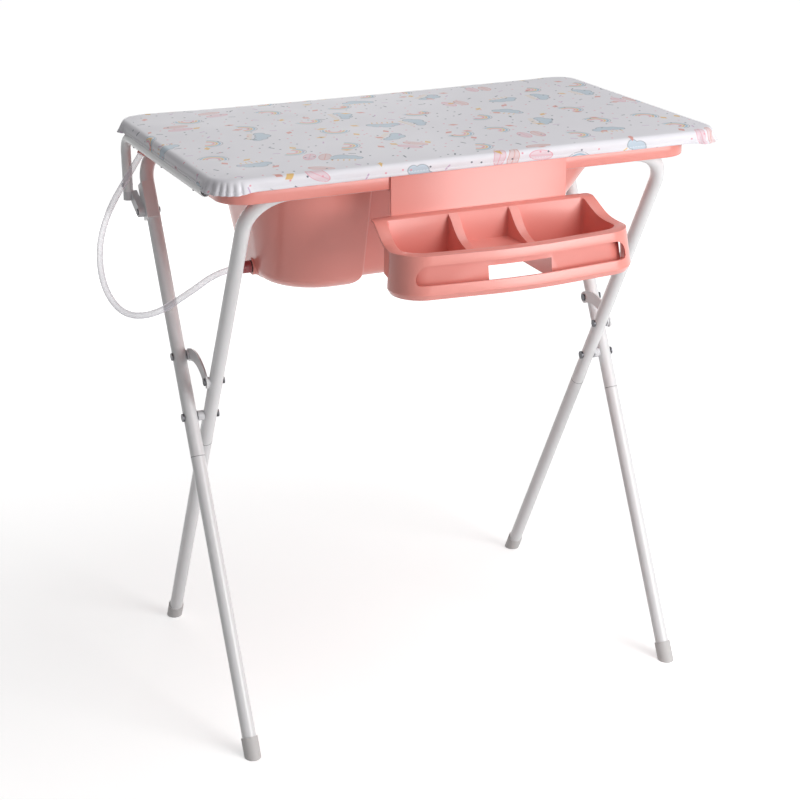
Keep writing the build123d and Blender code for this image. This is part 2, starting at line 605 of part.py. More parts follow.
def bathtub():
    """Tub: bowl, rim lip on the two top runs, flange with an upstand that carries the top."""
    rim = (RIM_LEFT_X, RIM_RIGHT_X, RIM_FRONT_Y, RIM_REAR_Y)
    inner_rim = (RIM_LEFT_X + TUB_WALL, RIM_RIGHT_X - TUB_WALL, RIM_FRONT_Y + TUB_WALL, RIM_REAR_Y - TUB_WALL)
    wide = (RIM_LEFT_X - CUT_OVER, RIM_RIGHT_X + CUT_OVER)
    rear_lip_top = RIM_UNDER_Z + TUB_WALL
    step_y = UPSTAND_END_Y - TUB_WALL
    behind = RIM_REAR_Y + CUT_OVER
    body = slab(RIM_UNDER_Z, LIP_TOP_Z, *rim, RIM_CORNER_R)
    body -= block(*wide, RIM_FRONT_Y - CUT_OVER, step_y, RIM_UNDER_Z - CUT_OVER, RIM_FRONT_UNDER_Z)
    body -= block(*wide, UPSTAND_END_Y, behind, rear_lip_top, LIP_TOP_Z + CUT_OVER)
    ring = slab(FLANGE_Z, RIM_TOP_Z, *rim, RIM_CORNER_R)
    ring -= slab(FLANGE_Z - CUT_OVER, RIM_TOP_Z + CUT_OVER, *inner_rim, RIM_CORNER_R - TUB_WALL)
    ring -= block(*wide, UPSTAND_END_Y, behind, rear_lip_top, RIM_TOP_Z + CUT_OVER)
    ring -= block(*wide, FLANGE_END_Y, behind, FLANGE_Z - CUT_OVER, RIM_UNDER_Z)
    notch_half = TRAY_HALF_PLATE + TRAY_PLATE_GAP + CUT_OVER
    ring -= block(-notch_half, notch_half, RIM_FRONT_Y - CUT_OVER, RIM_FRONT_Y + TUB_WALL + CUT_OVER,
                  tray_hook_z(), RIM_TOP_Z + CUT_OVER)
    body += ring
    body += bowl(0) - block(*wide, UPSTAND_END_Y, behind, rear_lip_top, LIP_TOP_Z + CUT_OVER)
    body += rod_x(DRAIN_BOSS_X, BOWL_FLOOR_LEFT_X + DRAIN_BOSS_R, DRAIN_Y, DRAIN_Z, DRAIN_BOSS_R)
    body -= bowl(TUB_WALL)
    bore_end = BOWL_FLOOR_LEFT_X + 2 * DRAIN_BOSS_R
    return body - rod_x(DRAIN_BOSS_X - CUT_OVER, bore_end, DRAIN_Y, DRAIN_Z, DRAIN_BORE_R)


def tray_hook_z():
    """Underside of the tray's hook, where it lies on the notched upstand."""
    return RIM_TOP_Z - TRAY_HOOK_T - TRAY_PLATE_GAP


def drain_gasket():
    """Rubber ring between the boss and the outlet."""
    x1 = DRAIN_BOSS_X - DRAIN_GASKET_T
    ring = rod_x(DRAIN_BOSS_X, x1, DRAIN_Y, DRAIN_Z, DRAIN_NUT_R)
    return ring - rod_x(DRAIN_BOSS_X + CUT_OVER, x1 - CUT_OVER, DRAIN_Y, DRAIN_Z, DRAIN_BORE_R)


def drain_outlet():
    """Ribbed outlet: a stem in the boss and a grooved body that the hose leaves."""
    x0 = DRAIN_BOSS_X - DRAIN_GASKET_T
    x1 = HOSE_POINTS[0][0]
    body = rod_x(x0, x1, DRAIN_Y, DRAIN_Z, DRAIN_NUT_R - DRAIN_RIB_DEPTH)
    pitch = (x1 - x0) / DRAIN_RIB_COUNT
    for index in range(DRAIN_RIB_COUNT):
        start = x0 + pitch * index
        body += rod_x(start, start + pitch * DRAIN_RIB_SHARE, DRAIN_Y, DRAIN_Z, DRAIN_NUT_R)
    body += rod_x(x0, x0 + DRAIN_STEM_LENGTH, DRAIN_Y, DRAIN_Z, DRAIN_STEM_R)
    stem_end = x0 + DRAIN_STEM_LENGTH + CUT_OVER
    return body - rod_x(x1 - CUT_OVER, stem_end, DRAIN_Y, DRAIN_Z, DRAIN_BORE_INNER_R)


def hose_radii():
    """Largest arc at each inner point of the hose's route."""
    radii = []
    points = [Vector(*p) for p in HOSE_POINTS]
    for before, here, after in zip(points, points[1:], points[2:]):
        turn = math.radians((here - before).get_angle(after - here))
        shorter = min((here - before).length, (after - here).length)
        radii.append(HOSE_RADIUS_SHARE * shorter / math.tan(turn / 2))
    return radii


def drain_hose():
    """Clear drain hose as a plain rod along its route."""
    path = FilletPolyline(*HOSE_POINTS, radius=hose_radii())
    section = Plane(origin=path @ 0, z_dir=path % 0) * Circle(HOSE_D / 2)
    hose = sweep(section, path=path)
    print("hose length", round(path.length, 1), "radii", [round(r) for r in hose_radii()],
          "volume share", round(hose.volume / (math.pi * HOSE_D ** 2 / 4 * path.length), 4))
    return hose


def hose_clip():
    """Clip that grips the rim's flange from below and seats the hose's upper end."""
    end = Vector(*HOSE_POINTS[-1])
    along = (end - Vector(*HOSE_POINTS[-2])).normalized()
    outer_x = RIM_LEFT_X - CLIP_PLAY
    inner_x = RIM_LEFT_X + TUB_WALL + CLIP_PLAY
    y0, y1 = end.Y - CLIP_WIDTH / 2, end.Y + CLIP_WIDTH / 2
    top = FLANGE_Z + CLIP_GRIP
    floor = FLANGE_Z - CLIP_PLAY
    body = block(outer_x - CLIP_OUTER_WALL, inner_x + CLIP_WALL, y0, y1, floor - CLIP_BASE, top)
    body -= block(outer_x, inner_x, y0 - CUT_OVER, y1 + CUT_OVER, floor, top + CUT_OVER)
    return body + rod(end, end + along * CLIP_SEAT_T, CLIP_SEAT_R)


def tray_outline(z, inset, half_back, half_front, forward):
    """Plan of the tray: straight back, slightly splayed sides, bowed front."""
    front = tray_back_y() + inset - forward
    back = tray_back_y() - inset
    mid = TRAY_SHIFT_X
    half_back -= inset
    half_front -= inset
    corners = ((mid - half_back, back, z), (mid - half_front, front - TRAY_CORNER_DEPTH, z),
               (mid, front - TRAY_MID_DEPTH, z), (mid + half_front, front - TRAY_CORNER_DEPTH, z),
               (mid + half_back, back, z))
    front_r = TRAY_CORNER_R - inset
    radii = [TRAY_BACK_R, front_r, TRAY_BOW_R, front_r, TRAY_BACK_R]
    return make_face(FilletPolyline(*corners, radius=radii, close=True))


def tray_back_y():
    """Front face of the tray's hanging plate."""
    return RIM_FRONT_Y - TRAY_PLATE_GAP - TRAY_PLATE_T


def tray_body(inset):
    """The tray's outer form as a solid, drawn in by an inset: foot edge, widest line and top."""
    foot_in = inset + TRAY_FOOT_INSET
    wide_z = TRAY_BOTTOM_Z + TRAY_FOOT_HEIGHT
    foot = tray_outline(TRAY_BOTTOM_Z, foot_in, TRAY_LOW_HALF_BACK, TRAY_LOW_HALF_FRONT, TRAY_LOW_FORWARD)
    wide = tray_outline(wide_z, inset, TRAY_LOW_HALF_BACK, TRAY_LOW_HALF_FRONT, TRAY_LOW_FORWARD)
    high = tray_outline(TRAY_TOP_Z, inset, TRAY_HALF_BACK, TRAY_HALF_FRONT, 0)
    return loft([foot, wide, high], ruled=True)


def above_line(depths, drops, under):
    """Everything above a line that falls from the tray's back to its front, lowered by a clearance."""
    y0 = tray_back_y()
    curve = [(0, y0 - depth, TRAY_TOP_Z - drop - under) for depth, drop in zip(depths, drops)]
    first, last = curve[0], curve[-1]
    near, far = y0 + CUT_OVER, y0 - 2 * TRAY_MID_DEPTH
    high = TRAY_TOP_Z + OVERRUN
    edges = Polyline(last, (0, far, last[2]), (0, far, high), (0, near, high), (0, near, first[2]), first)
    return extrude(make_face(Wire([Spline(*curve), *edges.edges()])), amount=OVERRUN, both=True)


def above_wings(under):
    """Everything above the top line of the side walls."""
    return above_line(TRAY_WING_DEPTHS, TRAY_WING_DROPS, under)


def above_dividers(under):
    """Everything above the top line of the dividers."""
    return above_line(TRAY_DIVIDER_DEPTHS, TRAY_DIVIDER_DROPS, under)


def divider_face(middle_x, side, inset):
    """X of a divider's face at the pockets' back and at the tray's front."""
    halves = (TRAY_DIVIDER_BACK_T / 2 - inset, TRAY_DIVIDER_FRONT_T / 2 - inset)
    return tuple(middle_x + side * half for half in halves)


WHOLE_TRAY = ((-OVERRUN, -OVERRUN), (OVERRUN, OVERRUN))


def between_faces(left, right, z0, z1):
    """Space between two divider faces, from the pockets' back past the tray's front."""
    y1 = pocket_back_y()
    y2 = tray_back_y() - TRAY_MID_DEPTH - TRAY_LOW_FORWARD
    corners = ((left[0], y1, z0), (right[0], y1, z0), (right[1], y2, z0), (left[1], y2, z0))
    return extrude(make_face(Polyline(*corners, close=True)), amount=z1 - z0, dir=(0, 0, 1))


def pocket_back_y():
    """Inner face of the pockets' back wall."""
    return tray_back_y() - TRAY_LEDGE - TRAY_WALL


def tray_pockets():
    """Three pockets as one moulding with hollow dividers, open below the shallow middle one."""
    y_back = tray_back_y() - TRAY_LEDGE
    high = TRAY_TOP_Z + OVERRUN
    low = TRAY_BOTTOM_Z - OVERRUN
    left, right = TRAY_DIVIDER_LEFT_X, TRAY_DIVIDER_RIGHT_X
    hollow = tray_body(TRAY_RIM_WIDTH + TRAY_WALL)
    level = block(-OVERRUN, OVERRUN, -2 * OUTER_LEG_X, y_back, TRAY_FLOOR_Z, TRAY_TOP_Z)
    body = tray_body(TRAY_RIM_WIDTH) & level
    under_middle = between_faces(divider_face(left, -1, TRAY_WALL), divider_face(right, 1, TRAY_WALL), low,
                                 TRAY_MID_FLOOR_Z)
    under_middle += carried_back(under_middle)
    body -= under_middle
    for middle_x in (left, right):
        inner_faces = (divider_face(middle_x, -1, TRAY_WALL), divider_face(middle_x, 1, TRAY_WALL))
        core = between_faces(*inner_faces, low, high)
        body -= (core & hollow) - above_dividers(TRAY_WALL)
    spaces = ((WHOLE_TRAY[0], divider_face(left, -1, 0), TRAY_FLOOR_Z),
              (divider_face(left, 1, 0), divider_face(right, -1, 0), TRAY_MID_FLOOR_Z),
              (divider_face(right, 1, 0), WHOLE_TRAY[1], TRAY_FLOOR_Z))
    for start, end, floor_z in spaces:
        body -= between_faces(start, end, floor_z + TRAY_WALL, high) & hollow
    return body - (between_faces(*WHOLE_TRAY, low, high) & hollow & above_dividers(0))


def carried_back(space):
    """The same space carried straight back through the pockets' back wall."""
    return extrude(space.faces().sort_by(Axis.Y)[-1], amount=TRAY_LEDGE + TRAY_WALL, dir=(0, 1, 0))


def accessory_tray():
    """Moulded tray: three pockets in a rim, a towel bar below it, and a plate hooked over the tub's rim."""
    wall_x = TRAY_LOW_HALF_FRONT + TRAY_SHIFT_X
    y0 = tray_back_y()
    shell = tray_body(0) - tray_body(TRAY_WALL)
    shell -= block(-wall_x, wall_x, y0 - TRAY_SKIRT_BACK, y0 + CUT_OVER, 0, TRAY_TOP_Z + CUT_OVER)
    shell -= towel_opening()
    lid = tray_body(0) & (above_wings(TRAY_WALL) - above_wings(0))
    middle = between_faces(*WHOLE_TRAY, TRAY_BOTTOM_Z, TRAY_TOP_Z + OVERRUN)
    mouth = tray_body(TRAY_RIM_WIDTH + TRAY_WALL) & middle
    body = shell + (lid - mouth) + tray_pockets() - above_wings(0)
    half = TRAY_HALF_PLATE
    plate_back = RIM_FRONT_Y - TRAY_PLATE_GAP
    hook_z = tray_hook_z() + TRAY_PLATE_GAP / 2
    hook_top = hook_z + TRAY_HOOK_T
    return_y = RIM_FRONT_Y + TUB_WALL + TRAY_PLATE_GAP
    plate_front = plate_back - TRAY_PLATE_T
    body += block(-half, half, plate_front, plate_back, TRAY_TOP_Z - 2 * TRAY_WALL, hook_top)
    body += block(-half, half, plate_front, return_y + TRAY_HOOK_T, hook_z, hook_top)
    body += block(-half, half, return_y, return_y + TRAY_HOOK_T, LIP_TOP_Z + TRAY_PLATE_GAP, hook_top)
    tab_top = FLANGE_Z - TRAY_TAB_GAP
    return body + block(-half, half, plate_front, plate_back + TRAY_TAB_DEPTH, tab_top - TRAY_TAB_T, tab_top)


def towel_opening():
    """Cutter for the slot between the tray's band and its towel bar."""
    height = TRAY_BAND_BOTTOM_Z - TRAY_BAR_TOP_Z
    x0, x1 = TRAY_SHIFT_X - TRAY_OPENING_HALF, TRAY_SHIFT_X + TRAY_OPENING_HALF
    y = tray_back_y() - TRAY_OPENING_BACK
    corners = ((x0, y, TRAY_BAR_TOP_Z), (x1, y, TRAY_BAR_TOP_Z), (x1, y, TRAY_BAND_BOTTOM_Z),
               (x0, y, TRAY_BAND_BOTTOM_Z))
    radii = [share * height for share in TRAY_OPENING_CORNER_SHARES]
    outline = make_face(FilletPolyline(*corners, radius=radii, close=True))
    return extrude(outline, amount=TRAY_MID_DEPTH, dir=(0, -1, 0))


def drill(solid, cutters):
    """Cuts a list of pins out of a solid."""
    for cutter in cutters:
        solid -= cutter
    return solid


def frame_nodes():
    """Tube frame, its pivots and lock links."""
    nodes = {}
    outer_holes = []
    inner_holes = []
    uy, uz = LINK_UPPER
    ly, lz = LINK_LOWER
    for _, side in SIDES:
        outer_span = (side * (OUTER_LEG_X - FRAME_TUBE_D), side * (OUTER_LEG_X + FRAME_TUBE_D))
        inner_span = (side * (INNER_LEG_X - FRAME_TUBE_D), side * (INNER_LEG_X + FRAME_TUBE_D))
        outer_holes += [rod_x(*outer_span, 0, PIVOT_Z, PIVOT_PIN_D / 2),
                        rod_x(*outer_span, uy, uz, LINK_PIN_D / 2),
                        rod_x(*outer_span, HINGE_Y, HINGE_Z, HINGE_PIN_D / 2)]
        inner_holes += [rod_x(*inner_span, 0, PIVOT_Z, PIVOT_PIN_D / 2),
                        rod_x(*inner_span, ly, lz, LINK_PIN_D / 2)]
    nodes["rear_upper_frame"] = drill(upper_frame(OUTER_LEG_X, outer_y, REAR_RUN_Z), outer_holes)
    nodes["front_upper_frame"] = drill(upper_frame(INNER_LEG_X, inner_y, FRONT_RUN_Z), inner_holes)
    for name, side in SIDES:
        nodes[f"front_lower_leg_{name}"] = lower_leg(side * OUTER_LEG_X, outer_y)
        nodes[f"rear_lower_leg_{name}"] = lower_leg(side * INNER_LEG_X, inner_y)
        nodes[f"front_foot_cap_{name}"] = foot_cap(side * OUTER_LEG_X, outer_y)
        nodes[f"rear_foot_cap_{name}"] = foot_cap(side * INNER_LEG_X, inner_y)
        nodes[f"pivot_rivet_{name}"] = pivot_rivet(side)
        nodes[f"pivot_spacer_{name}"] = pivot_spacer(side)
        nodes[f"lock_link_{name}"] = lock_link(side)
        nodes[f"link_rivet_{name}"] = link_rivet(side)
        nodes[f"link_stud_{name}"] = link_stud(side)
        outer_face = LINK_MID_X + LINK_T / 2 + FACE_GAP
        inner_face = LINK_MID_X - LINK_T / 2 - FACE_GAP
        upper = link_washer(side, LINK_UPPER, OUTER_LEG_X - FRAME_R, outer_face)
        lower = link_washer(side, LINK_LOWER, INNER_LEG_X + FRAME_R, inner_face)
        nodes[f"link_washers_{name}"] = Compound([*upper.solids(), *lower.solids()])
        nodes[f"hinge_bracket_{name}"] = hinge_bracket(side)
        nodes[f"hinge_rivet_{name}"] = hinge_rivet(side)
    return nodes


def top_nodes():
    """Changing top with its side tubes and hinge blocks."""
    nodes = {"changing_board": changing_board(), "mat_foam": mat_foam(), "mat_cover": mat_cover()}
    screws = []
    for name, side in SIDES:
        nodes[f"top_side_tube_{name}"] = side_tube(side)
        nodes[f"hinge_block_{name}"] = hinge_block(side)
        nodes[f"block_rivet_{name}"] = block_rivet(side)
        screws += [solid for x, y in top_screw_places(side) for solid in top_screw(x, y).solids()]
    nodes["top_screws"] = Compound(screws)
    return nodes


def tub_nodes():
    """Bathtub, drain, hose and tray."""
    return {"bathtub": bathtub(), "drain_gasket": drain_gasket(), "drain_outlet": drain_outlet(),
            "drain_hose": drain_hose(), "hose_clip": hose_clip(), "accessory_tray": accessory_tray()}


HOSE_NODES = ("drain_hose",)


def main():
    nodes = {**frame_nodes(), **top_nodes(), **tub_nodes()}
    firm = [solid for name, shape in nodes.items() if name not in HOSE_NODES for solid in shape.solids()]
    box = Compound(firm).bounding_box()
    shift = Pos(-(box.min.X + box.max.X) / 2, -(box.min.Y + box.max.Y) / 2, 0)
    print("shift", shift.position, "size", box.size)
    print("hinge", HINGE_Y, HINGE_Z, "link eye", LINK_UPPER, "stud", LINK_LOWER)
    os.makedirs("parts", exist_ok=True)
    for name, shape in nodes.items():
        export_step(shift * shape, f"parts/{name}.step")


if __name__ == "__main__":
    main()
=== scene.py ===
"""Looks of a folding changing table with a bathtub, built around its packed CAD frame.

Laid out as a Blender add-on: property groups hold the sizes and colours, one operator makes each group of
pieces, and main() runs them in order.
"""

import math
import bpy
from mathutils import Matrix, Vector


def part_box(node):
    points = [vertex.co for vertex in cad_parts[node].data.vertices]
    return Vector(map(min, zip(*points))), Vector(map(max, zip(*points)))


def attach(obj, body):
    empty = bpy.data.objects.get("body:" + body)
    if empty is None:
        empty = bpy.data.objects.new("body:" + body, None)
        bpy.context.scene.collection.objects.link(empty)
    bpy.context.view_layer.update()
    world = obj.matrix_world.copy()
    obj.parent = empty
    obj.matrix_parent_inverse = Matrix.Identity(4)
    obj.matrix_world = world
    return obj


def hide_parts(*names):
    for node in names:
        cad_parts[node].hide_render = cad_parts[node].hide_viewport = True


bl_info = {
    "name": "Changing table with bathtub",
    "version": (1, 0, 0),
    "blender": (4, 5, 0),
    "location": "3D View > Sidebar > Changing table",
    "description": "Makes the padded top, tub, tray, hose and finishes of a folding changing table",
    "category": "Object",
}

import bpy
from bpy.props import FloatProperty, FloatVectorProperty, PointerProperty
from mathutils import Vector, noise

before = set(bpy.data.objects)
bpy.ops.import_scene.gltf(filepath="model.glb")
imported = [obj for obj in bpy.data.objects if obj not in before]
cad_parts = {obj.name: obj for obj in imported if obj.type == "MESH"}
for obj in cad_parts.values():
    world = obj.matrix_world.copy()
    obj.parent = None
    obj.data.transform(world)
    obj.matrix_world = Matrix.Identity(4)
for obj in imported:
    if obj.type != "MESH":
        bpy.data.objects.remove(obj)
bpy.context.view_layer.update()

MM = 0.001
SIDES = ("left", "right")
SQUARE = ((-1, -1), (1, -1), (1, 1), (-1, 1))
MAT_LOW, MAT_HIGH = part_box("mat_cover")
PIVOT_Y = sum(corner.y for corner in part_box("pivot_rivet_left")) / 2


# Settings

def size_prop(name, description, default):
    """A setting in metres."""
    return FloatProperty(name=name, description=description, default=default, unit="LENGTH")


def colour_prop(name, description, *default):
    """A setting for a colour."""
    return FloatVectorProperty(name=name, description=description, default=default, subtype="COLOR")


def power_prop(name, description, default):
    """A setting for a lamp's power in watts."""
    return FloatProperty(name=name, description=description, default=default, unit="POWER")


class StageSettings(bpy.types.PropertyGroup):
    """Camera, lamps and floor."""
    camera_place: FloatVectorProperty(name="Camera place", description="Where the camera stands",
                                      default=(-1.1324, PIVOT_Y - 2.5344, 1.493), unit="LENGTH")
    camera_turn: FloatVectorProperty(name="Camera turn", description="Camera's rotation",
                                     default=(math.pi / 2 - 0.3609, 0.0059, -0.4183), subtype="EULER")
    lens: FloatProperty(name="Lens", description="Focal length", default=81.25, unit="CAMERA")
    front_power: power_prop("Front lamp", "Power of the lamp in front", 64.0)
    top_power: power_prop("Top lamp", "Power of the lamp above", 28.0)
    back_power: power_prop("Back lamp", "Power of the lamp behind", 16.0)
    world_strength: FloatProperty(name="Ambient", description="Strength of the light from all round",
                                  default=0.21)
    floor_colour: colour_prop("Floor", "Colour of the floor", 0.93, 0.93, 0.93)


class MatSettings(bpy.types.PropertyGroup):
    """Padded top with its vinyl cover."""
    corner_radius: size_prop("Corner radius", "Plan radius of the corners", 0.042)
    edge_radius: size_prop("Edge radius", "Radius along the upper edge", 0.008)
    pleat_depth: size_prop("Pleat depth", "Depth of the gathered folds at the corners", 0.0044)
    pleat_width: size_prop("Pleat width", "Width of one gathered fold", 0.0105)
    flare: size_prop("Flare", "How far the skirt stands out at the corners", 0.007)
    rear_dip: size_prop("Rear dip", "Sag of the rear edge at its middle", 0.003)
    hem_width: size_prop("Hem", "Width of the hem turned in below", 0.012)
    vinyl: colour_prop("Vinyl", "Colour of the vinyl", 0.80, 0.785, 0.83)


class TubSettings(bpy.types.PropertyGroup):
    """Bathtub, tray and drain."""
    wall: size_prop("Wall", "Wall of the tub", 0.003)
    pink: colour_prop("Pink", "Colour of the tub and the tray", 0.82, 0.285, 0.242)
    outlet: colour_prop("Outlet", "Colour of the drain outlet", 0.5, 0.11, 0.12)
    edge_round: size_prop("Edge rounding", "Radius on the tray's moulded edges", 0.0018)
    hose_diameter: size_prop("Hose", "Outer diameter of the drain hose", 0.010)


class FrameSettings(bpy.types.PropertyGroup):
    """Finishes of the frame."""
    paint: colour_prop("Paint", "Colour of the powder coat", 0.80, 0.80, 0.81)
    cap: colour_prop("Caps", "Colour of the foot caps", 0.60, 0.585, 0.58)
    steel: colour_prop("Steel", "Colour of the rivets", 0.13, 0.13, 0.14)
    board: colour_prop("Board", "Colour of the hardboard", 0.30, 0.18, 0.10)


# Node building

class Graph:
    """Adds nodes to a material or a group, with their inputs given by name, number or socket."""

    def __init__(self, tree):
        self.tree = tree

    def add(self, kind, inputs=None, **settings):
        node = self.tree.nodes.new(kind)
        for name, value in settings.items():
            setattr(node, name, value)
        for key, value in (inputs or {}).items():
            if isinstance(value, bpy.types.NodeSocket):
                self.tree.links.new(value, node.inputs[key])
            else:
                node.inputs[key].default_value = value
        return node

    def math(self, operation, a, b=0.0, c=0.0, clamp=False):
        return self.add("ShaderNodeMath", {0: a, 1: b, 2: c}, operation=operation, use_clamp=clamp).outputs[0]

    def vector(self, operation, a, b=(0.0, 0.0, 0.0)):
        return self.add("ShaderNodeVectorMath", {0: a, 1: b}, operation=operation).outputs["Vector"]

    def length(self, a):
        return self.add("ShaderNodeVectorMath", {0: a}, operation="LENGTH").outputs["Value"]

    def mix(self, factor, a, b, blend="MIX"):
        colours = [c if isinstance(c, bpy.types.NodeSocket) or len(c) == 4 else (*c, 1.0) for c in (a, b)]
        node = self.add("ShaderNodeMix", {0: factor, 6: colours[0], 7: colours[1]}, data_type="RGBA",
                        blend_type=blend)
        return node.outputs[2]

    def invert(self, mask):
        return self.math("SUBTRACT", 1.0, mask)

    def axes(self, vector):
        """The three parts of a vector."""
        return self.add("ShaderNodeSeparateXYZ", {0: vector}).outputs

    def place(self):
        """Place on the object, in metres."""
        return self.add("ShaderNodeTexCoord").outputs["Object"]

    def noise(self, vector, scale, detail=2.0, rough=0.5):
        return self.add("ShaderNodeTexNoise", {"Vector": vector, "Scale": scale, "Detail": detail,
                                               "Roughness": rough}).outputs["Fac"]

    def ramp(self, value, start, end, low, high):
        """Low up to the start, high from the end on, and straight between them."""
        return self.add("ShaderNodeMapRange", {0: value, 1: start, 2: end, 3: low, 4: high}).outputs[0]

    def spread(self, value, low, high):
        """Maps the usual range of noise, 0.25 to 0.75, to a range."""
        return self.ramp(value, 0.25, 0.75, low, high)

    def relief(self, height, strength, distance, normal=None):
        """Normal of a surface with a fine height on it, over another normal where one is given."""
        inputs = {"Height": height, "Strength": strength, "Distance": distance}
        if normal is not None:
            inputs["Normal"] = normal
        return self.add("ShaderNodeBump", inputs).outputs[0]

    def link(self, value, shader, name):
        self.tree.links.new(value, shader.inputs[name])

    def group(self, tree, inputs):
        return self.add("ShaderNodeGroup", inputs, node_tree=tree)


def new_group(name, inputs, outputs):
    """An empty node group with named sockets, and its input and output nodes."""
    tree = bpy.data.node_groups.new(name, "ShaderNodeTree")
    for label, kind, default in inputs:
        socket = tree.interface.new_socket(label, in_out="INPUT", socket_type=kind)
        if default is not None:
            socket.default_value = default
    for label, kind in outputs:
        tree.interface.new_socket(label, in_out="OUTPUT", socket_type=kind)
    graph = Graph(tree)
    return graph, tree.nodes.new("NodeGroupInput"), tree.nodes.new("NodeGroupOutput")


MOTTLE_SCALE, SPECKLE_SCALE = 9.0, 90.0
SCUFF_STRETCH, SCUFF_TURN = (40.0, 260.0, 120.0), (0.4, 0.7, 0.5)
SCUFF_START, SCUFF_FULL = 0.62, 0.75


def surface_group():
    """Group for moulded, painted and metal surfaces: mottled colour and roughness, fine grain and scuffs."""
    name = "Moulded surface"
    if name in bpy.data.node_groups:
        return bpy.data.node_groups[name]
    graph, given, made = new_group(name, [
        ("Colour", "NodeSocketColor", (0.8, 0.8, 0.8, 1.0)), ("Mottle", "NodeSocketFloat", 0.04),
        ("Roughness", "NodeSocketFloat", 0.4), ("Roughness spread", "NodeSocketFloat", 0.06),
        ("Grain size", "NodeSocketFloat", 400.0), ("Scuffs", "NodeSocketFloat", 0.1)],
        [("Colour", "NodeSocketColor"), ("Roughness", "NodeSocketFloat"), ("Height", "NodeSocketFloat")])
    given = given.outputs
    place = graph.place()
    broad = graph.math("SUBTRACT", graph.noise(place, MOTTLE_SCALE, 3.0), 0.5)
    shade = graph.math("ADD", 1.0, graph.math("MULTIPLY", broad, given["Mottle"]))
    shaded = graph.vector("SCALE", given["Colour"])
    graph.link(shade, shaded.node, "Scale")
    stretched = graph.add("ShaderNodeMapping", {"Vector": place, "Scale": SCUFF_STRETCH,
                                                "Rotation": SCUFF_TURN})
    scratches = graph.noise(stretched.outputs[0], 1.0, 4.0, 0.7)
    worn = graph.math("MULTIPLY", graph.ramp(scratches, SCUFF_START, SCUFF_FULL, 0.0, 1.0), given["Scuffs"])
    speckle = graph.math("SUBTRACT", graph.noise(place, SPECKLE_SCALE, 2.0), 0.5)
    rough = graph.math("ADD", given["Roughness"], graph.math("MULTIPLY", speckle, given["Roughness spread"]))
    rough = graph.math("ADD", rough, worn, clamp=True)
    grain = graph.noise(place, given["Grain size"], 2.0)
    height = graph.math("SUBTRACT", grain, graph.math("MULTIPLY", worn, 0.5))
    graph.link(shaded, made, "Colour")
    graph.link(rough, made, "Roughness")
    graph.link(height, made, "Height")
    return graph.tree


def new_material(name):
    """A material with an empty graph, its Principled shader and that shader's output."""
    material = bpy.data.materials.new(name)
    material.use_nodes = True
    graph = Graph(material.node_tree)
    shader = next(n for n in material.node_tree.nodes if n.type == "BSDF_PRINCIPLED")
    return material, graph, shader


GRAIN_DEPTH = 0.0005


def moulded(name, colour, roughness, grain=500.0, bump=0.08, mottle=0.05, scuffs=0.06, metallic=0.0,
            coat=0.0, coat_roughness=0.08, specular=0.5):
    """Plastic, paint or metal finish made with the shared surface group."""
    material, graph, shader = new_material(name)
    surface = graph.group(surface_group(), {"Colour": (*colour, 1.0), "Mottle": mottle,
                                            "Roughness": roughness, "Grain size": grain, "Scuffs": scuffs})
    graph.link(surface.outputs["Colour"], shader, "Base Color")
    graph.link(surface.outputs["Roughness"], shader, "Roughness")
    graph.link(graph.relief(surface.outputs["Height"], bump, GRAIN_DEPTH), shader, "Normal")
    shader.inputs["Metallic"].default_value = metallic
    shader.inputs["Coat Weight"].default_value = coat
    shader.inputs["Coat Roughness"].default_value = coat_roughness
    shader.inputs["Specular IOR Level"].default_value = specular
    return material


# Mesh building

def mesh_object(name, points, faces, smooth_angle=40.0):
    """A new mesh object in the scene, shaded smooth up to an angle."""
    mesh = bpy.data.meshes.new(name)
    mesh.from_pydata([tuple(p) for p in points], [], faces)
    mesh.validate()
    mesh.update()
    mesh.shade_smooth()
    mesh.set_sharp_from_angle(angle=math.radians(smooth_angle))
    made = bpy.data.objects.new(name, mesh)
    bpy.context.collection.objects.link(made)
    return made


STRAIGHT_TURN = 0.01


def plan(corners, per_corner, side_step):
    """Closed outline through rounded corners (x, y, radius), with the same count of points for each run."""
    points = []
    count = len(corners)
    for index, (x, y, radius) in enumerate(corners):
        here = Vector((x, y))
        before = (here - Vector(corners[index - 1][:2])).normalized()
        after = (Vector(corners[(index + 1) % count][:2]) - here).normalized()
        turn = math.atan2(before.x * after.y - before.y * after.x, before.dot(after))
        reach = radius * math.tan(abs(turn) / 2) if abs(turn) > STRAIGHT_TURN else radius
        start = here - before * reach
        for step in range(per_corner + 1):
            share = step / per_corner
            if abs(turn) <= STRAIGHT_TURN:
                points.append(start + before * (2 * reach * share))
                continue
            side = math.copysign(1.0, turn)
            normal = Vector((-before.y, before.x)) * side
            centre = start + normal * radius
            angle = turn * share
            arm = start - centre
            points.append(centre + Vector((arm.x * math.cos(angle) - arm.y * math.sin(angle),
                                           arm.x * math.sin(angle) + arm.y * math.cos(angle))))
        points.append(None)
    loop = []
    for index, point in enumerate(points):
        if point is not None:
            loop.append(point)
            continue
        first = points[index - 1]
        last = points[(index + 1) % len(points)]
        loop += [first.lerp(last, step / side_step) for step in range(1, side_step)]
    return loop


def bridge(rings, first_centre=None, last_centre=None):
    """Points and faces of a skin over rings of equal count, with optional end points."""
    points = [p for ring in rings for p in ring]
    count = len(rings[0])
    faces = []
    for level in range(len(rings) - 1):
        base = level * count
        for i in range(count):
            j = (i + 1) % count
            faces.append((base + i, base + j, base + count + j, base + count + i))
    if first_centre is not None:
        points.append(first_centre)
        faces += [(len(points) - 1, (i + 1) % count, i) for i in range(count)]
    if last_centre is not None:
        points.append(last_centre)
        base = (len(rings) - 1) * count
        faces += [(base + i, base + (i + 1) % count, len(points) - 1) for i in range(count)]
    return points, faces


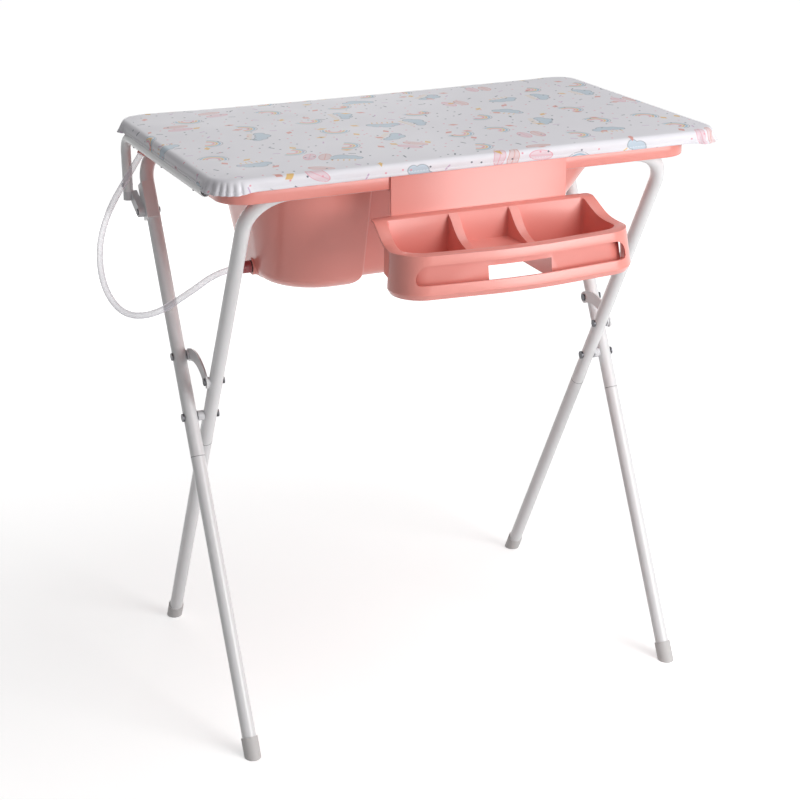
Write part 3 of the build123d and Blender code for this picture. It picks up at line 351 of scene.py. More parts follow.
def smooth_step(low, high, value):
    share = min(max((value - low) / (high - low), 0.0), 1.0)
    return share * share * (3.0 - 2.0 * share)


def lathe(name, profile, origin, axis, segments=48):
    """A turned piece: profile points are (distance along the axis, radius)."""
    axis = Vector(axis).normalized()
    across = axis.orthogonal().normalized()
    up = axis.cross(across)
    rings = []
    for along, radius in profile:
        centre = Vector(origin) + axis * along
        rings.append([centre + across * (radius * math.cos(a)) + up * (radius * math.sin(a))
                      for a in (2 * math.pi * k / segments for k in range(segments))])
    points, faces = bridge(rings)
    return mesh_object(name, points, faces)


def finish_piece(piece, material, body, replaces=()):
    """Gives a piece its material and its body, and hides the nodes it stands for."""
    piece.data.materials.clear()
    piece.data.materials.append(material)
    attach(piece, body)
    if replaces:
        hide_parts(*replaces)


# Padded top

def print_group():
    """Group for one layer of scattered motifs: place within a motif, and two random numbers for it."""
    name = "Scattered motif"
    if name in bpy.data.node_groups:
        return bpy.data.node_groups[name]
    graph, given, made = new_group(name, [
        ("Vector", "NodeSocketVector", None), ("Per metre", "NodeSocketFloat", 12.0),
        ("Offset", "NodeSocketVector", (0.0, 0.0, 0.0)), ("Turn", "NodeSocketFloat", 6.283),
        ("Randomness", "NodeSocketFloat", 0.6)],
        [("Local", "NodeSocketVector"), ("Pick", "NodeSocketFloat"), ("Tint", "NodeSocketFloat")])
    given = given.outputs
    place = graph.vector("ADD", given["Vector"], given["Offset"])
    cells = graph.add("ShaderNodeTexVoronoi", {"Vector": place, "Scale": given["Per metre"],
                                               "Randomness": given["Randomness"]}, voronoi_dimensions="2D")
    local = graph.vector("SUBTRACT", place, cells.outputs["Position"])
    turn, pick, tint = graph.add("ShaderNodeSeparateColor", {0: cells.outputs["Color"]}).outputs
    angle = graph.math("MULTIPLY", turn, given["Turn"])
    turned = graph.add("ShaderNodeVectorRotate", {"Vector": local, "Angle": angle}, rotation_type="Z_AXIS")
    for name, value in (("Local", turned.outputs[0]), ("Pick", pick), ("Tint", tint)):
        graph.link(value, made, name)
    return graph.tree


def below(graph, value, limit, soft=0.0006):
    """Mask that is 1 under a limit, with a soft edge."""
    return graph.ramp(value, limit - soft, limit + soft, 1.0, 0.0)


def between(graph, value, low, high):
    """Mask that is 1 between two limits."""
    return graph.math("SUBTRACT", below(graph, value, high), below(graph, value, low))


def both(graph, *masks):
    """Mask that is 1 where all the masks are."""
    result = masks[0]
    for mask in masks[1:]:
        result = graph.math("MULTIPLY", result, mask)
    return result


PINK, CORAL, BLUE = (0.74, 0.30, 0.37), (0.66, 0.25, 0.20), (0.25, 0.44, 0.56)
MUSTARD, SLATE, LILAC = (0.74, 0.44, 0.08), (0.07, 0.09, 0.13), (0.55, 0.36, 0.55)
ARCH_SHARE, CLOUD_SHARE, PICK_SOFT = 0.36, 0.70, 0.001
ARCH_BANDS = ((0.0075, 0.0105, PINK, 0.9), (0.0120, 0.0150, MUSTARD, 0.85), (0.0165, 0.0195, BLUE, 0.85),
              (0.0215, 0.0226, SLATE, 0.6))
ARCH_FOOT = -0.003
CLOUD_PUFFS = ((-0.016, -0.003, 0.0085), (-0.004, 0.003, 0.0120), (0.010, 0.001, 0.0100),
               (0.020, -0.004, 0.007))
OUTLINE_HALF = 0.0007
RAIN_LOW, RAIN_HIGH, RAIN_HALF, RAIN_PITCH_HALF, RAIN_STROKE_HALF = -0.021, -0.013, 0.018, 0.004, 0.0009
LEAF_SHIFT, LEAF_NARROW, LEAF_HALF, LEAF_LINE = 0.011, (2.1, 1.0, 1.0), 0.019, (0.0178, 0.0196)
RIB_HALF, RIB_REACH = 0.0005, 0.017
PENNANT_SHARE, DASH_SHARE = 0.34, 0.88
PENNANT_SLOPE, PENNANT_SIZE, PENNANT_DROP = 1.7, 0.0085, 0.002
DASH_HALF_WIDTH, DASH_HALF_LENGTH = 0.0011, 0.0055
DOT_RADIUS, DOT_SHARE = 0.0016, 0.55
CLOUD_INK, OUTLINE_INK, RAIN_INK, LEAF_INK, LEAF_LINE_INK, RIB_INK = 0.5, 0.55, 0.9, 0.35, 0.85, 0.8
PENNANT_INK, DASH_INK, DOT_INK = 0.85, 0.9, 0.95
MOTIFS = {"per_metre": 11.5, "offset": (0.37, 0.21, 0.0), "Turn": 3.6, "Randomness": 0.7}
SMALL_MOTIFS = {"per_metre": 21.0, "offset": (0.11, 0.53, 0.0), "Randomness": 0.9}
DOTS = {"per_metre": 46.0, "offset": (0.71, 0.17, 0.0), "Randomness": 1.0}
SHADE_PER_M, SHADE, CREASES_PER_M, CREASED_ROUGHNESS = 5.0, 0.97, 14.0, (0.44, 0.54)
WEAVE_PER_M, WEAVE_STRENGTH, WEAVE_DEPTH, CREASE_STRENGTH, CREASE_DEPTH = 900.0, 0.08, 0.0004, 0.25, 0.0015


def ink(graph, base, mask, tone, strength):
    """Colour with a tone of the print laid over it where the mask is 1."""
    return graph.mix(graph.math("MULTIPLY", mask, strength), base, tone)


def scatter(graph, flat, per_metre, offset, **more):
    """A layer of scattered motifs: place within a motif, and its two random numbers."""
    layer = graph.group(print_group(), {"Vector": flat, "Per metre": per_metre, "Offset": offset, **more})
    return [layer.outputs[name] for name in ("Local", "Pick", "Tint")]


def arches(graph, colour, local, pick):
    """Bands of colour bent over a common middle."""
    shown = below(graph, pick, ARCH_SHARE, PICK_SOFT)
    upper = graph.invert(below(graph, graph.axes(local)[1], ARCH_FOOT))
    radius = graph.length(local)
    for low, high, tone, strength in ARCH_BANDS:
        band = both(graph, shown, upper, between(graph, radius, low, high))
        colour = ink(graph, colour, band, tone, strength)
    return colour


def clouds(graph, colour, local, pick):
    """Round puffs with a dark outline, and short strokes of rain under them."""
    shown = between(graph, pick, ARCH_SHARE, CLOUD_SHARE)
    puffs = None
    for x, y, radius in CLOUD_PUFFS:
        reach = graph.length(graph.vector("SUBTRACT", local, (x, y, 0.0)))
        distance = graph.math("SUBTRACT", reach, radius)
        puffs = distance if puffs is None else graph.math("MINIMUM", puffs, distance)
    colour = ink(graph, colour, both(graph, shown, below(graph, puffs, 0.0)), BLUE, CLOUD_INK)
    outline = between(graph, puffs, -OUTLINE_HALF, OUTLINE_HALF)
    colour = ink(graph, colour, both(graph, shown, outline), SLATE, OUTLINE_INK)
    x, y = graph.axes(local)[:2]
    strokes = graph.math("WRAP", x, RAIN_PITCH_HALF, -RAIN_PITCH_HALF)
    rain = both(graph, shown, between(graph, y, RAIN_LOW, RAIN_HIGH),
                between(graph, strokes, -RAIN_STROKE_HALF, RAIN_STROKE_HALF),
                between(graph, x, -RAIN_HALF, RAIN_HALF))
    return ink(graph, colour, rain, MUSTARD, RAIN_INK)


def leaves(graph, colour, local, pick):
    """Two oval leaves side by side, each with an outline and a rib."""
    shown = graph.invert(below(graph, pick, CLOUD_SHARE, PICK_SOFT))
    for shift, tone in ((LEAF_SHIFT, PINK), (-LEAF_SHIFT, CORAL)):
        offset = graph.vector("SUBTRACT", local, (shift, 0.0, 0.0))
        oval = graph.length(graph.vector("MULTIPLY", offset, LEAF_NARROW))
        colour = ink(graph, colour, both(graph, shown, below(graph, oval, LEAF_HALF)), tone, LEAF_INK)
        line = both(graph, shown, between(graph, oval, *LEAF_LINE))
        colour = ink(graph, colour, line, tone, LEAF_LINE_INK)
        aside = graph.math("ABSOLUTE", graph.axes(offset)[0])
        rib = both(graph, shown, below(graph, aside, RIB_HALF), below(graph, oval, RIB_REACH))
        colour = ink(graph, colour, rib, tone, RIB_INK)
    return colour


def pennants_and_dashes(graph, colour, flat):
    """Small pointed pennants and short dashes between the large motifs."""
    local, pick, tint = scatter(graph, flat, **SMALL_MOTIFS)
    x, y = graph.axes(local)[:2]
    x = graph.math("ABSOLUTE", x)
    lowered = graph.math("ABSOLUTE", graph.math("ADD", y, PENNANT_DROP))
    slope = graph.math("ADD", graph.math("MULTIPLY", x, PENNANT_SLOPE), lowered)
    pennant = both(graph, below(graph, slope, PENNANT_SIZE), below(graph, pick, PENNANT_SHARE, PICK_SOFT))
    tones = graph.mix(below(graph, tint, 0.55, PICK_SOFT), MUSTARD, CORAL)
    colour = ink(graph, colour, pennant, tones, PENNANT_INK)
    dash = both(graph, below(graph, x, DASH_HALF_WIDTH),
                below(graph, graph.math("ABSOLUTE", y), DASH_HALF_LENGTH),
                between(graph, pick, PENNANT_SHARE, DASH_SHARE))
    tones = graph.mix(below(graph, tint, 0.5, PICK_SOFT), SLATE, LILAC)
    return ink(graph, colour, dash, tones, DASH_INK)


def dots(graph, colour, flat):
    """Fine dots all over the cloth."""
    local, pick, tint = scatter(graph, flat, **DOTS)
    spot = both(graph, below(graph, graph.length(local), DOT_RADIUS),
                below(graph, pick, DOT_SHARE, PICK_SOFT))
    tones = graph.mix(below(graph, tint, 0.5, PICK_SOFT), SLATE, PINK)
    return ink(graph, colour, spot, tones, DOT_INK)


def printed_vinyl(settings):
    """Soft white vinyl with a pastel print of arches, clouds, leaves, pennants, dashes and dots."""
    material, graph, shader = new_material("Printed vinyl")
    flat = graph.add("ShaderNodeUVMap", uv_map="Cloth").outputs[0]
    shaded = [c * SHADE for c in settings.vinyl]
    colour = graph.mix(graph.noise(flat, SHADE_PER_M), settings.vinyl, shaded)
    local, pick = scatter(graph, flat, **MOTIFS)[:2]
    for motif in (arches, clouds, leaves):
        colour = motif(graph, colour, local, pick)
    colour = pennants_and_dashes(graph, colour, flat)
    colour = dots(graph, colour, flat)
    graph.link(colour, shader, "Base Color")
    weave = graph.noise(flat, WEAVE_PER_M)
    creases = graph.noise(flat, CREASES_PER_M, 3.0)
    graph.link(graph.spread(creases, *CREASED_ROUGHNESS), shader, "Roughness")
    fine = graph.relief(weave, WEAVE_STRENGTH, WEAVE_DEPTH)
    graph.link(graph.relief(creases, CREASE_STRENGTH, CREASE_DEPTH, fine), shader, "Normal")
    shader.inputs["Sheen Weight"].default_value = 0.05
    shader.inputs["Specular IOR Level"].default_value = 0.32
    return material


CORNER_POINTS, SIDE_POINTS = 56, 150
GATHER_BEFORE, GATHER_WITHIN = 0.030, 0.012
FOLD_WANDER_PER_M, FOLD_WANDER = 55.0, 1.6
FOLD_CHANGE_PER_M, FOLD_CHANGE, FOLD_STRENGTH = 90.0, 0.5, 0.75
FOLD_ROUNDNESS, FOLD_MIDDLE, FOLD_FULL, FOLD_ON_TOP, FOLD_TOP_REACH = 0.7, 0.62, 0.75, 0.30, 0.045
WANDER_ROW, CHANGE_ROW, TOP_ROW, SKIRT_ROW = 3.7, 9.1, 0.4, 5.5
TOP_WAVES_PER_M, TOP_WAVE, CROWN, CROWN_WIDTH = 9.0, 0.0007, 0.0012, 0.05
REAR_START = 0.25
HEM_LIFT, CORNER_SAG, FLARE_ROUNDNESS = 0.0002, 0.0022, 1.5
SKIRT_BULGE, SKIRT_WAVE, SKIRT_WAVES_PER_M, SKIRT_WAVES_DOWN = 0.0005, 0.0008, 22.0, 2.0
HEM_STEP, HEM_START, HEM_FULL = 0.0006, 0.80, 0.83
CLOTH_DROP, CLOTH_EDGE = 0.022, 0.4
TOP_SHARES = (*(k / 16 for k in range(1, 16)), 0.955, 0.975, 0.988)
SKIRT_DROPS = (0.0, 0.015, 0.05, 0.11, 0.20, 0.31, 0.42, 0.52, 0.62, 0.71, 0.78, 0.81, 0.84, 0.90, 0.96, 1.0)
FIRST_TURN, LEVEL_AFTER, HEM_THICKNESS = 0.0006, 0.006, 0.0009
HEM_TURNS = ((FIRST_TURN, -0.0005), (0.0022, -0.0006), (0.006, -0.0001))


class MatShape:
    """Surface of the padded top, from its middle over the edge and the skirt to the hem below."""

    def __init__(self, settings):
        self.settings = settings
        self.mid = ((MAT_LOW + MAT_HIGH) / 2).xy
        self.half = ((MAT_HIGH - MAT_LOW) / 2).xy
        corners = [(x * self.half.x, y * self.half.y, settings.corner_radius) for x, y in SQUARE]
        self.loop = plan(corners, CORNER_POINTS, SIDE_POINTS)
        self.count = len(self.loop)
        self.out, self.along = [], []
        travelled = 0.0
        for i, point in enumerate(self.loop):
            after = self.loop[(i + 1) % self.count]
            tangent = (after - self.loop[i - 1]).normalized()
            self.out.append(Vector((tangent.y, -tangent.x)))
            self.along.append(travelled)
            travelled += (after - point).length
        self.cornered = [self.gather(point) for point in self.loop]

    def gather(self, point):
        """How strongly the cover is gathered near a place on the outline: 1 in a corner's arc."""
        start = self.settings.corner_radius + GATHER_BEFORE
        full = self.settings.corner_radius - GATHER_WITHIN
        return (smooth_step(start, full, self.half.x - abs(point.x))
                * smooth_step(start, full, self.half.y - abs(point.y)))

    def folds(self, i):
        """Height of the gathered folds: round ridges with narrow valleys between them."""
        along = self.along[i]
        wander = noise.noise(Vector((along * FOLD_WANDER_PER_M, WANDER_ROW, 0.0))) * FOLD_WANDER
        wave = abs(math.sin(math.pi * along / self.settings.pleat_width + wander))
        change = FOLD_CHANGE * noise.noise(Vector((along * FOLD_CHANGE_PER_M, CHANGE_ROW, 0.0)))
        return (wave ** FOLD_ROUNDNESS - FOLD_MIDDLE) * (FOLD_STRENGTH + change)

    def top(self, point, edge):
        """Height of the upper face over a place, edge being its distance in from the skirt."""
        wide = noise.noise(Vector((*(point * TOP_WAVES_PER_M), TOP_ROW))) * TOP_WAVE
        crown = -CROWN * (1.0 - smooth_step(0.0, CROWN_WIDTH, edge))
        middle = max(0.0, 1.0 - (point.x / self.half.x) ** 2)
        rear = smooth_step(REAR_START, 1.0, point.y / self.half.y)
        return MAT_HIGH.z + wide + crown - self.settings.rear_dip * middle * rear

    def skirt(self, i, drop):
        """Point on the skirt at a drop from 0 at the edge's top to 1 at the hem's fold."""
        s = self.settings
        point, out, corner = self.loop[i], self.out[i], self.cornered[i]
        top = self.top(point, 0.0)
        down = drop * (top - (MAT_LOW.z + HEM_LIFT - CORNER_SAG * corner ** 3))
        push = s.pleat_depth * corner * self.folds(i) * smooth_step(0.0, FOLD_FULL, drop)
        if down < s.edge_radius:
            push -= s.edge_radius * (1.0 - math.sin(math.acos(1.0 - down / s.edge_radius)))
        push += s.flare * corner ** FLARE_ROUNDNESS * drop * drop
        push += SKIRT_BULGE * (1.0 - corner) * math.sin(math.pi * drop)
        spot = Vector((self.along[i] * SKIRT_WAVES_PER_M, drop * SKIRT_WAVES_DOWN, SKIRT_ROW))
        push += SKIRT_WAVE * drop * noise.noise(spot)
        push += HEM_STEP * smooth_step(HEM_START, HEM_FULL, drop)
        return Vector((*(self.mid + point + out * push), top - down))


def mat_mesh(settings):
    """Closed cover as a mesh, with the cloth laid flat as its UV map."""
    shape = MatShape(settings)
    rings, cloth = [], []
    edge = settings.edge_radius
    inset = Vector((1.0 - edge / shape.half.x, 1.0 - edge / shape.half.y))
    for share in TOP_SHARES:
        ring, flat = [], []
        for i, point in enumerate(shape.loop):
            place = point * inset * share
            distance = (point - place).length
            ripple = (settings.pleat_depth * FOLD_ON_TOP * shape.folds(i) * shape.cornered[i]
                      * smooth_step(FOLD_TOP_REACH, 0.0, distance))
            ring.append(Vector((*(shape.mid + place), shape.top(place, distance) + ripple)))
            flat.append(place)
        rings.append(ring)
        cloth.append(flat)
    for drop in SKIRT_DROPS:
        rings.append([shape.skirt(i, drop) for i in range(shape.count)])
        cloth.append([p + o * (drop * CLOTH_DROP - edge * CLOTH_EDGE) for p, o in zip(shape.loop, shape.out)])
    folded = rings[-1]
    for inward, rise in (*HEM_TURNS, (settings.hem_width, 0.0), (settings.hem_width, HEM_THICKNESS)):
        levelled = smooth_step(0.0, LEVEL_AFTER, inward)
        ring = []
        for fold, out in zip(folded, shape.out):
            height = fold.z + (MAT_LOW.z + HEM_LIFT - fold.z) * levelled
            ring.append(Vector((*(fold.xy - out * inward), height + rise)))
        rings.append(ring)
        cloth.append([p + o * (CLOTH_DROP + inward) for p, o in zip(shape.loop, shape.out)])
    centre = Vector((*shape.mid, shape.top(Vector((0.0, 0.0)), CROWN_WIDTH)))
    points, faces = bridge(rings, first_centre=centre)
    flat = [p for ring in cloth for p in ring] + [Vector((0.0, 0.0))]
    return shape, points, [tuple(reversed(face)) for face in faces], flat


STITCH_PITCH, STITCH_LENGTH, STITCH_HALF, STITCH_DROP = 0.0046, 0.0032, 0.0004, 0.775
STITCH_GIRTHS = ((0.0, 0.3), (0.15, 1.0), (0.85, 1.0), (1.0, 0.3))


class CHANGING_OT_mat(bpy.types.Operator):
    """Makes the padded top in its printed vinyl cover, with the thread along its hem"""
    bl_idname = "changing.mat"
    bl_label = "Padded top"

    def execute(self, context):
        settings = context.scene.changing_mat
        shape, points, faces, flat = mat_mesh(settings)
        cover = mesh_object("vinyl_cover", points, faces, 60.0)
        layer = cover.data.uv_layers.new(name="Cloth")
        for loop in cover.data.loops:
            layer.data[loop.index].uv = flat[loop.vertex_index]
        finish_piece(cover, printed_vinyl(settings), "changing_top", ("mat_cover", "mat_foam"))
        self.stitch(shape)
        return {"FINISHED"}

    def stitch(self, shape):
        """Short raised stitches along the hem, one after the other round the skirt."""
        points, faces = [], []
        i = 0
        for number in range(int(shape.along[-1] / STITCH_PITCH)):
            ends = []
            for distance in (number * STITCH_PITCH, number * STITCH_PITCH + STITCH_LENGTH):
                while i + 1 < shape.count - 1 and shape.along[i + 1] < distance:
                    i += 1
                share = (distance - shape.along[i]) / (shape.along[i + 1] - shape.along[i])
                here, after = shape.skirt(i, STITCH_DROP), shape.skirt(i + 1, STITCH_DROP)
                ends.append(here.lerp(after, min(max(share, 0.0), 1.0)))
            out, up = Vector((*shape.out[i], 0.0)), Vector((0.0, 0.0, 1.0))
            rings = []
            for share, girth in STITCH_GIRTHS:
                middle, reach = ends[0].lerp(ends[1], share), STITCH_HALF * girth
                rings.append([middle + way * reach for way in (out, up, -out, -up)])
            sides, skin = bridge(rings)
            skin += [(3, 2, 1, 0), (12, 13, 14, 15)]
            faces += [tuple(len(points) + k for k in face) for face in skin]
            points += sides
        thread = mesh_object("hem_stitching", points, faces)
        material = moulded("Hem thread", (0.78, 0.77, 0.80), 0.7, grain=2500.0, bump=0.3)
        finish_piece(thread, material, "changing_top")


# Tub, tray and drain

RIM = {"left": -0.385, "right": 0.360, "front": -0.25885, "rear": 0.2030, "corner": 0.045}
RIM_HIGH, HOOK_TOP, LIP_HIGH, LIP_LOW, FLANGE_LOW = 0.8945, 0.8917, 0.8833, 0.8803, 0.8730
UPSTAND_END, HOOK_DEPTH, LIP_RISE = 0.120, 0.010, 0.0055
LIP_CHANGE, TOP_CHANGE = (0.116, 0.120), (0.118, 0.123)
FLANGE_CHANGE, HOOK_CHANGE = (0.164, 0.170), (0.1402, 0.1422)
BOWL_LOW, BOWL_HIGH = 0.700, 0.8888
BOWL = {"left": (-0.272, -0.300), "right": (0.168, 0.311), "front": (-0.15085, -0.20385),
        "rear": (0.108, 0.168), "front_left": (0.0917, 0.1041), "rear_left": (0.1194, 0.1488),
        "right_r": (0.0598, 0.0744), "step": (-0.1163, -0.15585)}
STEP_X, STEP_OUT_R, STEP_IN_R, STEP_SPLIT, LEAST_R = -0.139, 0.004, 0.014, 0.02, 0.01
SIDE_R, RIGHT_SPLIT, LEFT_SPLIT, RIM_STEP_R, RIM_SIDE_R = 0.004, 0.020, -0.035, 0.005, 0.006
FLOOR_ROUND, LIP_ROUND, LIP_START = 0.024, 0.004, 0.005
FLOOR_SHARES, FLOOR_STEPS, WALL_STEPS, LIP_STEPS = (0.15, 0.35, 0.6, 0.85), 8, 6, 4
EDGE_ROUND, EDGE_PART, EDGE_FALL, INNER_PART, INNER_RISE = 0.001, 0.0004, 0.0003, 0.0003, 0.0002
LIP_RING_ABOVE, LIP_RING_BELOW, FLOOR_MIDDLE = 0.010, 0.008, (-0.08, -0.01)
CORNER_STEPS, SIDE_STEPS = 18, 14


def tub_plan(corners, height):
    """Ring through rounded corners, with a height that may change along it."""
    return [Vector((p.x, p.y + PIVOT_Y, height(p))) for p in plan(corners, CORNER_STEPS, SIDE_STEPS)]


def bowl_ring(level, inset, height):
    """Plan of the bowl at a level from 0 at its floor to 1 at the lip, drawn in by an inset."""
    at = {name: low + (high - low) * level for name, (low, high) in BOWL.items()}
    left, right = at["left"] + inset, at["right"] - inset
    front, rear, step = at["front"] + inset, at["rear"] - inset, at["step"] + inset
    front_left, rear_left, right_r = (max(at[name] - inset, LEAST_R)
                                      for name in ("front_left", "rear_left", "right_r"))
    return tub_plan([(left, front, front_left), (STEP_X - inset, front, STEP_OUT_R),
                     (STEP_X - inset, step, STEP_IN_R + inset), (right, step, right_r),
                     (right, RIGHT_SPLIT, SIDE_R), (right, rear, right_r), (left, rear, rear_left),
                     (left, LEFT_SPLIT, SIDE_R)], height)


def rim_ring(inset, height):
    """Plan of the rim, drawn in by an inset."""
    left, right = RIM["left"] + inset, RIM["right"] - inset
    front, rear, corner = RIM["front"] + inset, RIM["rear"] - inset, RIM["corner"] - inset
    return tub_plan([(left, front, corner), (STEP_X - STEP_SPLIT, front, RIM_STEP_R),
                     (STEP_X + STEP_SPLIT, front, RIM_STEP_R), (right, front, corner),
                     (right, UPSTAND_END, RIM_SIDE_R), (right, rear, corner), (left, rear, corner),
                     (left, UPSTAND_END, RIM_SIDE_R)], height)


def even(z):
    """The same height all along a ring."""
    return lambda p: z


def moved(height, rise):
    """A height along a ring, moved up."""
    return lambda p: height(p) + rise


def lip(base):
    """Height of the lip along a ring: stepped up in front, where the front frame's run is higher."""
    return lambda p: base + LIP_RISE * (1.0 - smooth_step(*LIP_CHANGE, p.y))


def upstand_top(point):
    """Top of the rim: lower where the tray hooks over it and along the rear, where the top swings down."""
    top = RIM_HIGH + (LIP_HIGH - RIM_HIGH) * smooth_step(*TOP_CHANGE, point.y)
    if point.y < RIM["front"] + HOOK_DEPTH:
        top = HOOK_TOP + (top - HOOK_TOP) * smooth_step(*HOOK_CHANGE, abs(point.x))
    return top


def flange_bottom(point):
    """Lower edge of the rim's flange: cut back along the rear."""
    return FLANGE_LOW + (LIP_LOW - FLANGE_LOW) * smooth_step(*FLANGE_CHANGE, point.y)


def floor_middle(z):
    """Middle of the bowl's floor at a height."""
    x, y = FLOOR_MIDDLE
    return Vector((x, y + PIVOT_Y, z))


def bowl_skin(inset):
    """Rings of one face of the bowl, from its floor up to the lip."""
    def wall_ring(z, drawn_in):
        return bowl_ring((z - BOWL_LOW) / (BOWL_HIGH - BOWL_LOW), drawn_in, even(z))

    low, round_r = BOWL_LOW + inset, FLOOR_ROUND - inset
    edge = bowl_ring(0.0, inset + round_r, even(low))
    rings = [[floor_middle(low).lerp(p, share) for p in edge] for share in FLOOR_SHARES]
    rings.append(edge)
    for k in range(1, FLOOR_STEPS + 1):
        angle = math.pi / 2 * k / FLOOR_STEPS
        rings.append(wall_ring(low + round_r * (1 - math.cos(angle)),
                               inset + round_r * (1 - math.sin(angle))))
    lip_z = LIP_HIGH if inset else LIP_LOW
    rise = lip_z - LIP_START - low - round_r
    rings += [wall_ring(low + round_r + rise * k / WALL_STEPS, inset) for k in range(1, WALL_STEPS + 1)]
    for k in range(1, LIP_STEPS + 1):
        angle = math.pi / 2 * k / LIP_STEPS
        rings.append(bowl_ring(1.0, inset - LIP_ROUND * (1 - math.cos(angle)),
                               lip(lip_z - LIP_ROUND * (1 - math.sin(angle)))))
    return rings


def tub_mesh(wall):
    """Tub as one closed skin: inside of the bowl, lip, rim and outside of the bowl."""
    above, under, soft = lip(LIP_HIGH), lip(LIP_LOW), EDGE_ROUND
    profile = [
        (LIP_RING_ABOVE, above), (wall + soft, above),
        (wall, lambda p: min(above(p) + soft, upstand_top(p))),
        (wall, lambda p: max(upstand_top(p) - soft, above(p))),
        (wall - EDGE_PART, moved(upstand_top, -EDGE_FALL)), (wall - soft, upstand_top),
        (soft, upstand_top), (EDGE_PART, moved(upstand_top, -EDGE_FALL)),
        (0.0, moved(upstand_top, -soft)), (0.0, moved(flange_bottom, soft)),
        (EDGE_PART, moved(flange_bottom, EDGE_FALL)), (soft, flange_bottom),
        (wall - soft, flange_bottom), (wall - INNER_PART, moved(flange_bottom, INNER_RISE)),
        (wall, lambda p: min(flange_bottom(p) + soft, under(p))), (wall, under),
        (wall + LIP_RING_BELOW, under)]
    rings = bowl_skin(wall) + [rim_ring(inset, height) for inset, height in profile]
    rings += reversed(bowl_skin(0.0))
    return bridge(rings, first_centre=floor_middle(BOWL_LOW + wall), last_centre=floor_middle(BOWL_LOW))


COLLAR = ((0.0, 0.006), (0.0, 0.0122), (0.0008, 0.013), (0.006, 0.013), (0.010, 0.0145), (0.016, 0.019),
          (0.020, 0.019), (0.020, 0.006), (0.0, 0.006))
WELD_WITHIN, FLAT_ANGLE, EDGE_ANGLE, SMOOTH_ANGLE = 0.00002, 1.0, 32.0, 35.0


class CHANGING_OT_tub(bpy.types.Operator):
    """Makes the bathtub with its drain collar, and the accessory tray"""
    bl_idname = "changing.tub"
    bl_label = "Bathtub and tray"

    def execute(self, context):
        settings = context.scene.changing_tub
        pink = moulded("Pink moulded plastic", settings.pink, 0.30, grain=260.0, bump=0.05, coat=0.5,
                       coat_roughness=0.24, scuffs=0.04, specular=0.38)
        points, faces = tub_mesh(settings.wall)
        tub = mesh_object("moulded_tub", points, faces, SMOOTH_ANGLE)
        finish_piece(tub, pink, "frame", ("bathtub",))
        low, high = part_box("drain_gasket")
        middle = (low + high) / 2
        collar = lathe("drain_collar", COLLAR, (high.x, middle.y, middle.z), (1, 0, 0))
        finish_piece(collar, pink, "frame")
        self.tray(context, settings, pink)
        return {"FINISHED"}

    def tray(self, context, settings, pink):
        """The tray with the small radii of a moulding on its edges."""
        tray = bpy.data.objects.new("moulded_tray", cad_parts["accessory_tray"].data.copy())
        context.collection.objects.link(tray)
        weld = tray.modifiers.new("Joined faces", "WELD")
        weld.merge_threshold = WELD_WITHIN
        flat = tray.modifiers.new("Flat faces", "DECIMATE")
        flat.decimate_type = "DISSOLVE"
        flat.angle_limit = math.radians(FLAT_ANGLE)
        edges = tray.modifiers.new("Moulded edges", "BEVEL")
        edges.width = settings.edge_round
        edges.segments = 3
        edges.limit_method = "ANGLE"
        edges.angle_limit = math.radians(EDGE_ANGLE)
        tray.data = bpy.data.meshes.new_from_object(tray.evaluated_get(context.evaluated_depsgraph_get()))
        tray.modifiers.clear()
        tray.data.shade_smooth()
        tray.data.set_sharp_from_angle(angle=math.radians(SMOOTH_ANGLE))
        finish_piece(tray, pink, "frame", ("accessory_tray",))


HOSE_ROUTE = ((-293.0, -50.0, 722.0), (-327.0, -50.0, 722.0), (-374.0, -44.0, 692.0), (-424.0, -22.0, 656.0),
              (-463.0, 14.0, 650.0), (-482.0, 52.0, 686.0), (-476.0, 88.0, 741.0), (-450.0, 112.0, 790.0),
              (-415.0, 127.0, 832.0), (-388.0, 135.0, 866.0))
HOSE_LENGTH, HOSE_CLEAR, HOSE_MILKY, HOSE_CLOUDY = 0.484, 0.30, 0.60, 0.05


def clear_hose():
    """Clear soft PVC: nearly see-through in the middle, milky towards its edges."""
    material, graph, shader = new_material("Clear hose")
    facing = graph.add("ShaderNodeLayerWeight", {"Blend": 0.35}).outputs["Facing"]
    cloudy = graph.spread(graph.noise(graph.place(), 22.0, 1.0), 0.0, HOSE_CLOUDY)
    alpha = graph.math("ADD", graph.math("MULTIPLY_ADD", facing, HOSE_MILKY, HOSE_CLEAR), cloudy, clamp=True)
    graph.link(alpha, shader, "Alpha")
    graph.link(graph.mix(cloudy, (0.80, 0.79, 0.87), (0.86, 0.85, 0.92)), shader, "Base Color")
    shader.inputs["Roughness"].default_value = 0.16
    shader.inputs["Coat Weight"].default_value = 0.4
    return material


class CHANGING_OT_hose(bpy.types.Operator):
    """Makes the clear drain hose from the outlet up to its clip"""
    bl_idname = "changing.hose"
    bl_label = "Drain hose"

    def execute(self, context):
        settings = context.scene.changing_tub
        curve = bpy.data.curves.new("clear_drain_hose", "CURVE")
        curve.dimensions = "3D"
        curve.bevel_depth = settings.hose_diameter / 2
        curve.bevel_resolution = 6
        curve.resolution_u = 16
        curve.use_fill_caps = True
        spline = curve.splines.new("NURBS")
        route = [(x * MM, y * MM + PIVOT_Y, z * MM) for x, y, z in HOSE_ROUTE]
        spline.points.add(len(route) - 1)
        for point, place in zip(spline.points, route):
            point.co = (*place, 1.0)
        spline.order_u = 3
        spline.use_endpoint_u = True
        hose = bpy.data.objects.new("clear_drain_hose", curve)
        context.collection.objects.link(hose)
        finish_piece(hose, clear_hose(), "frame", ("drain_hose",))
        return {"FINISHED"}


# Frame finishes

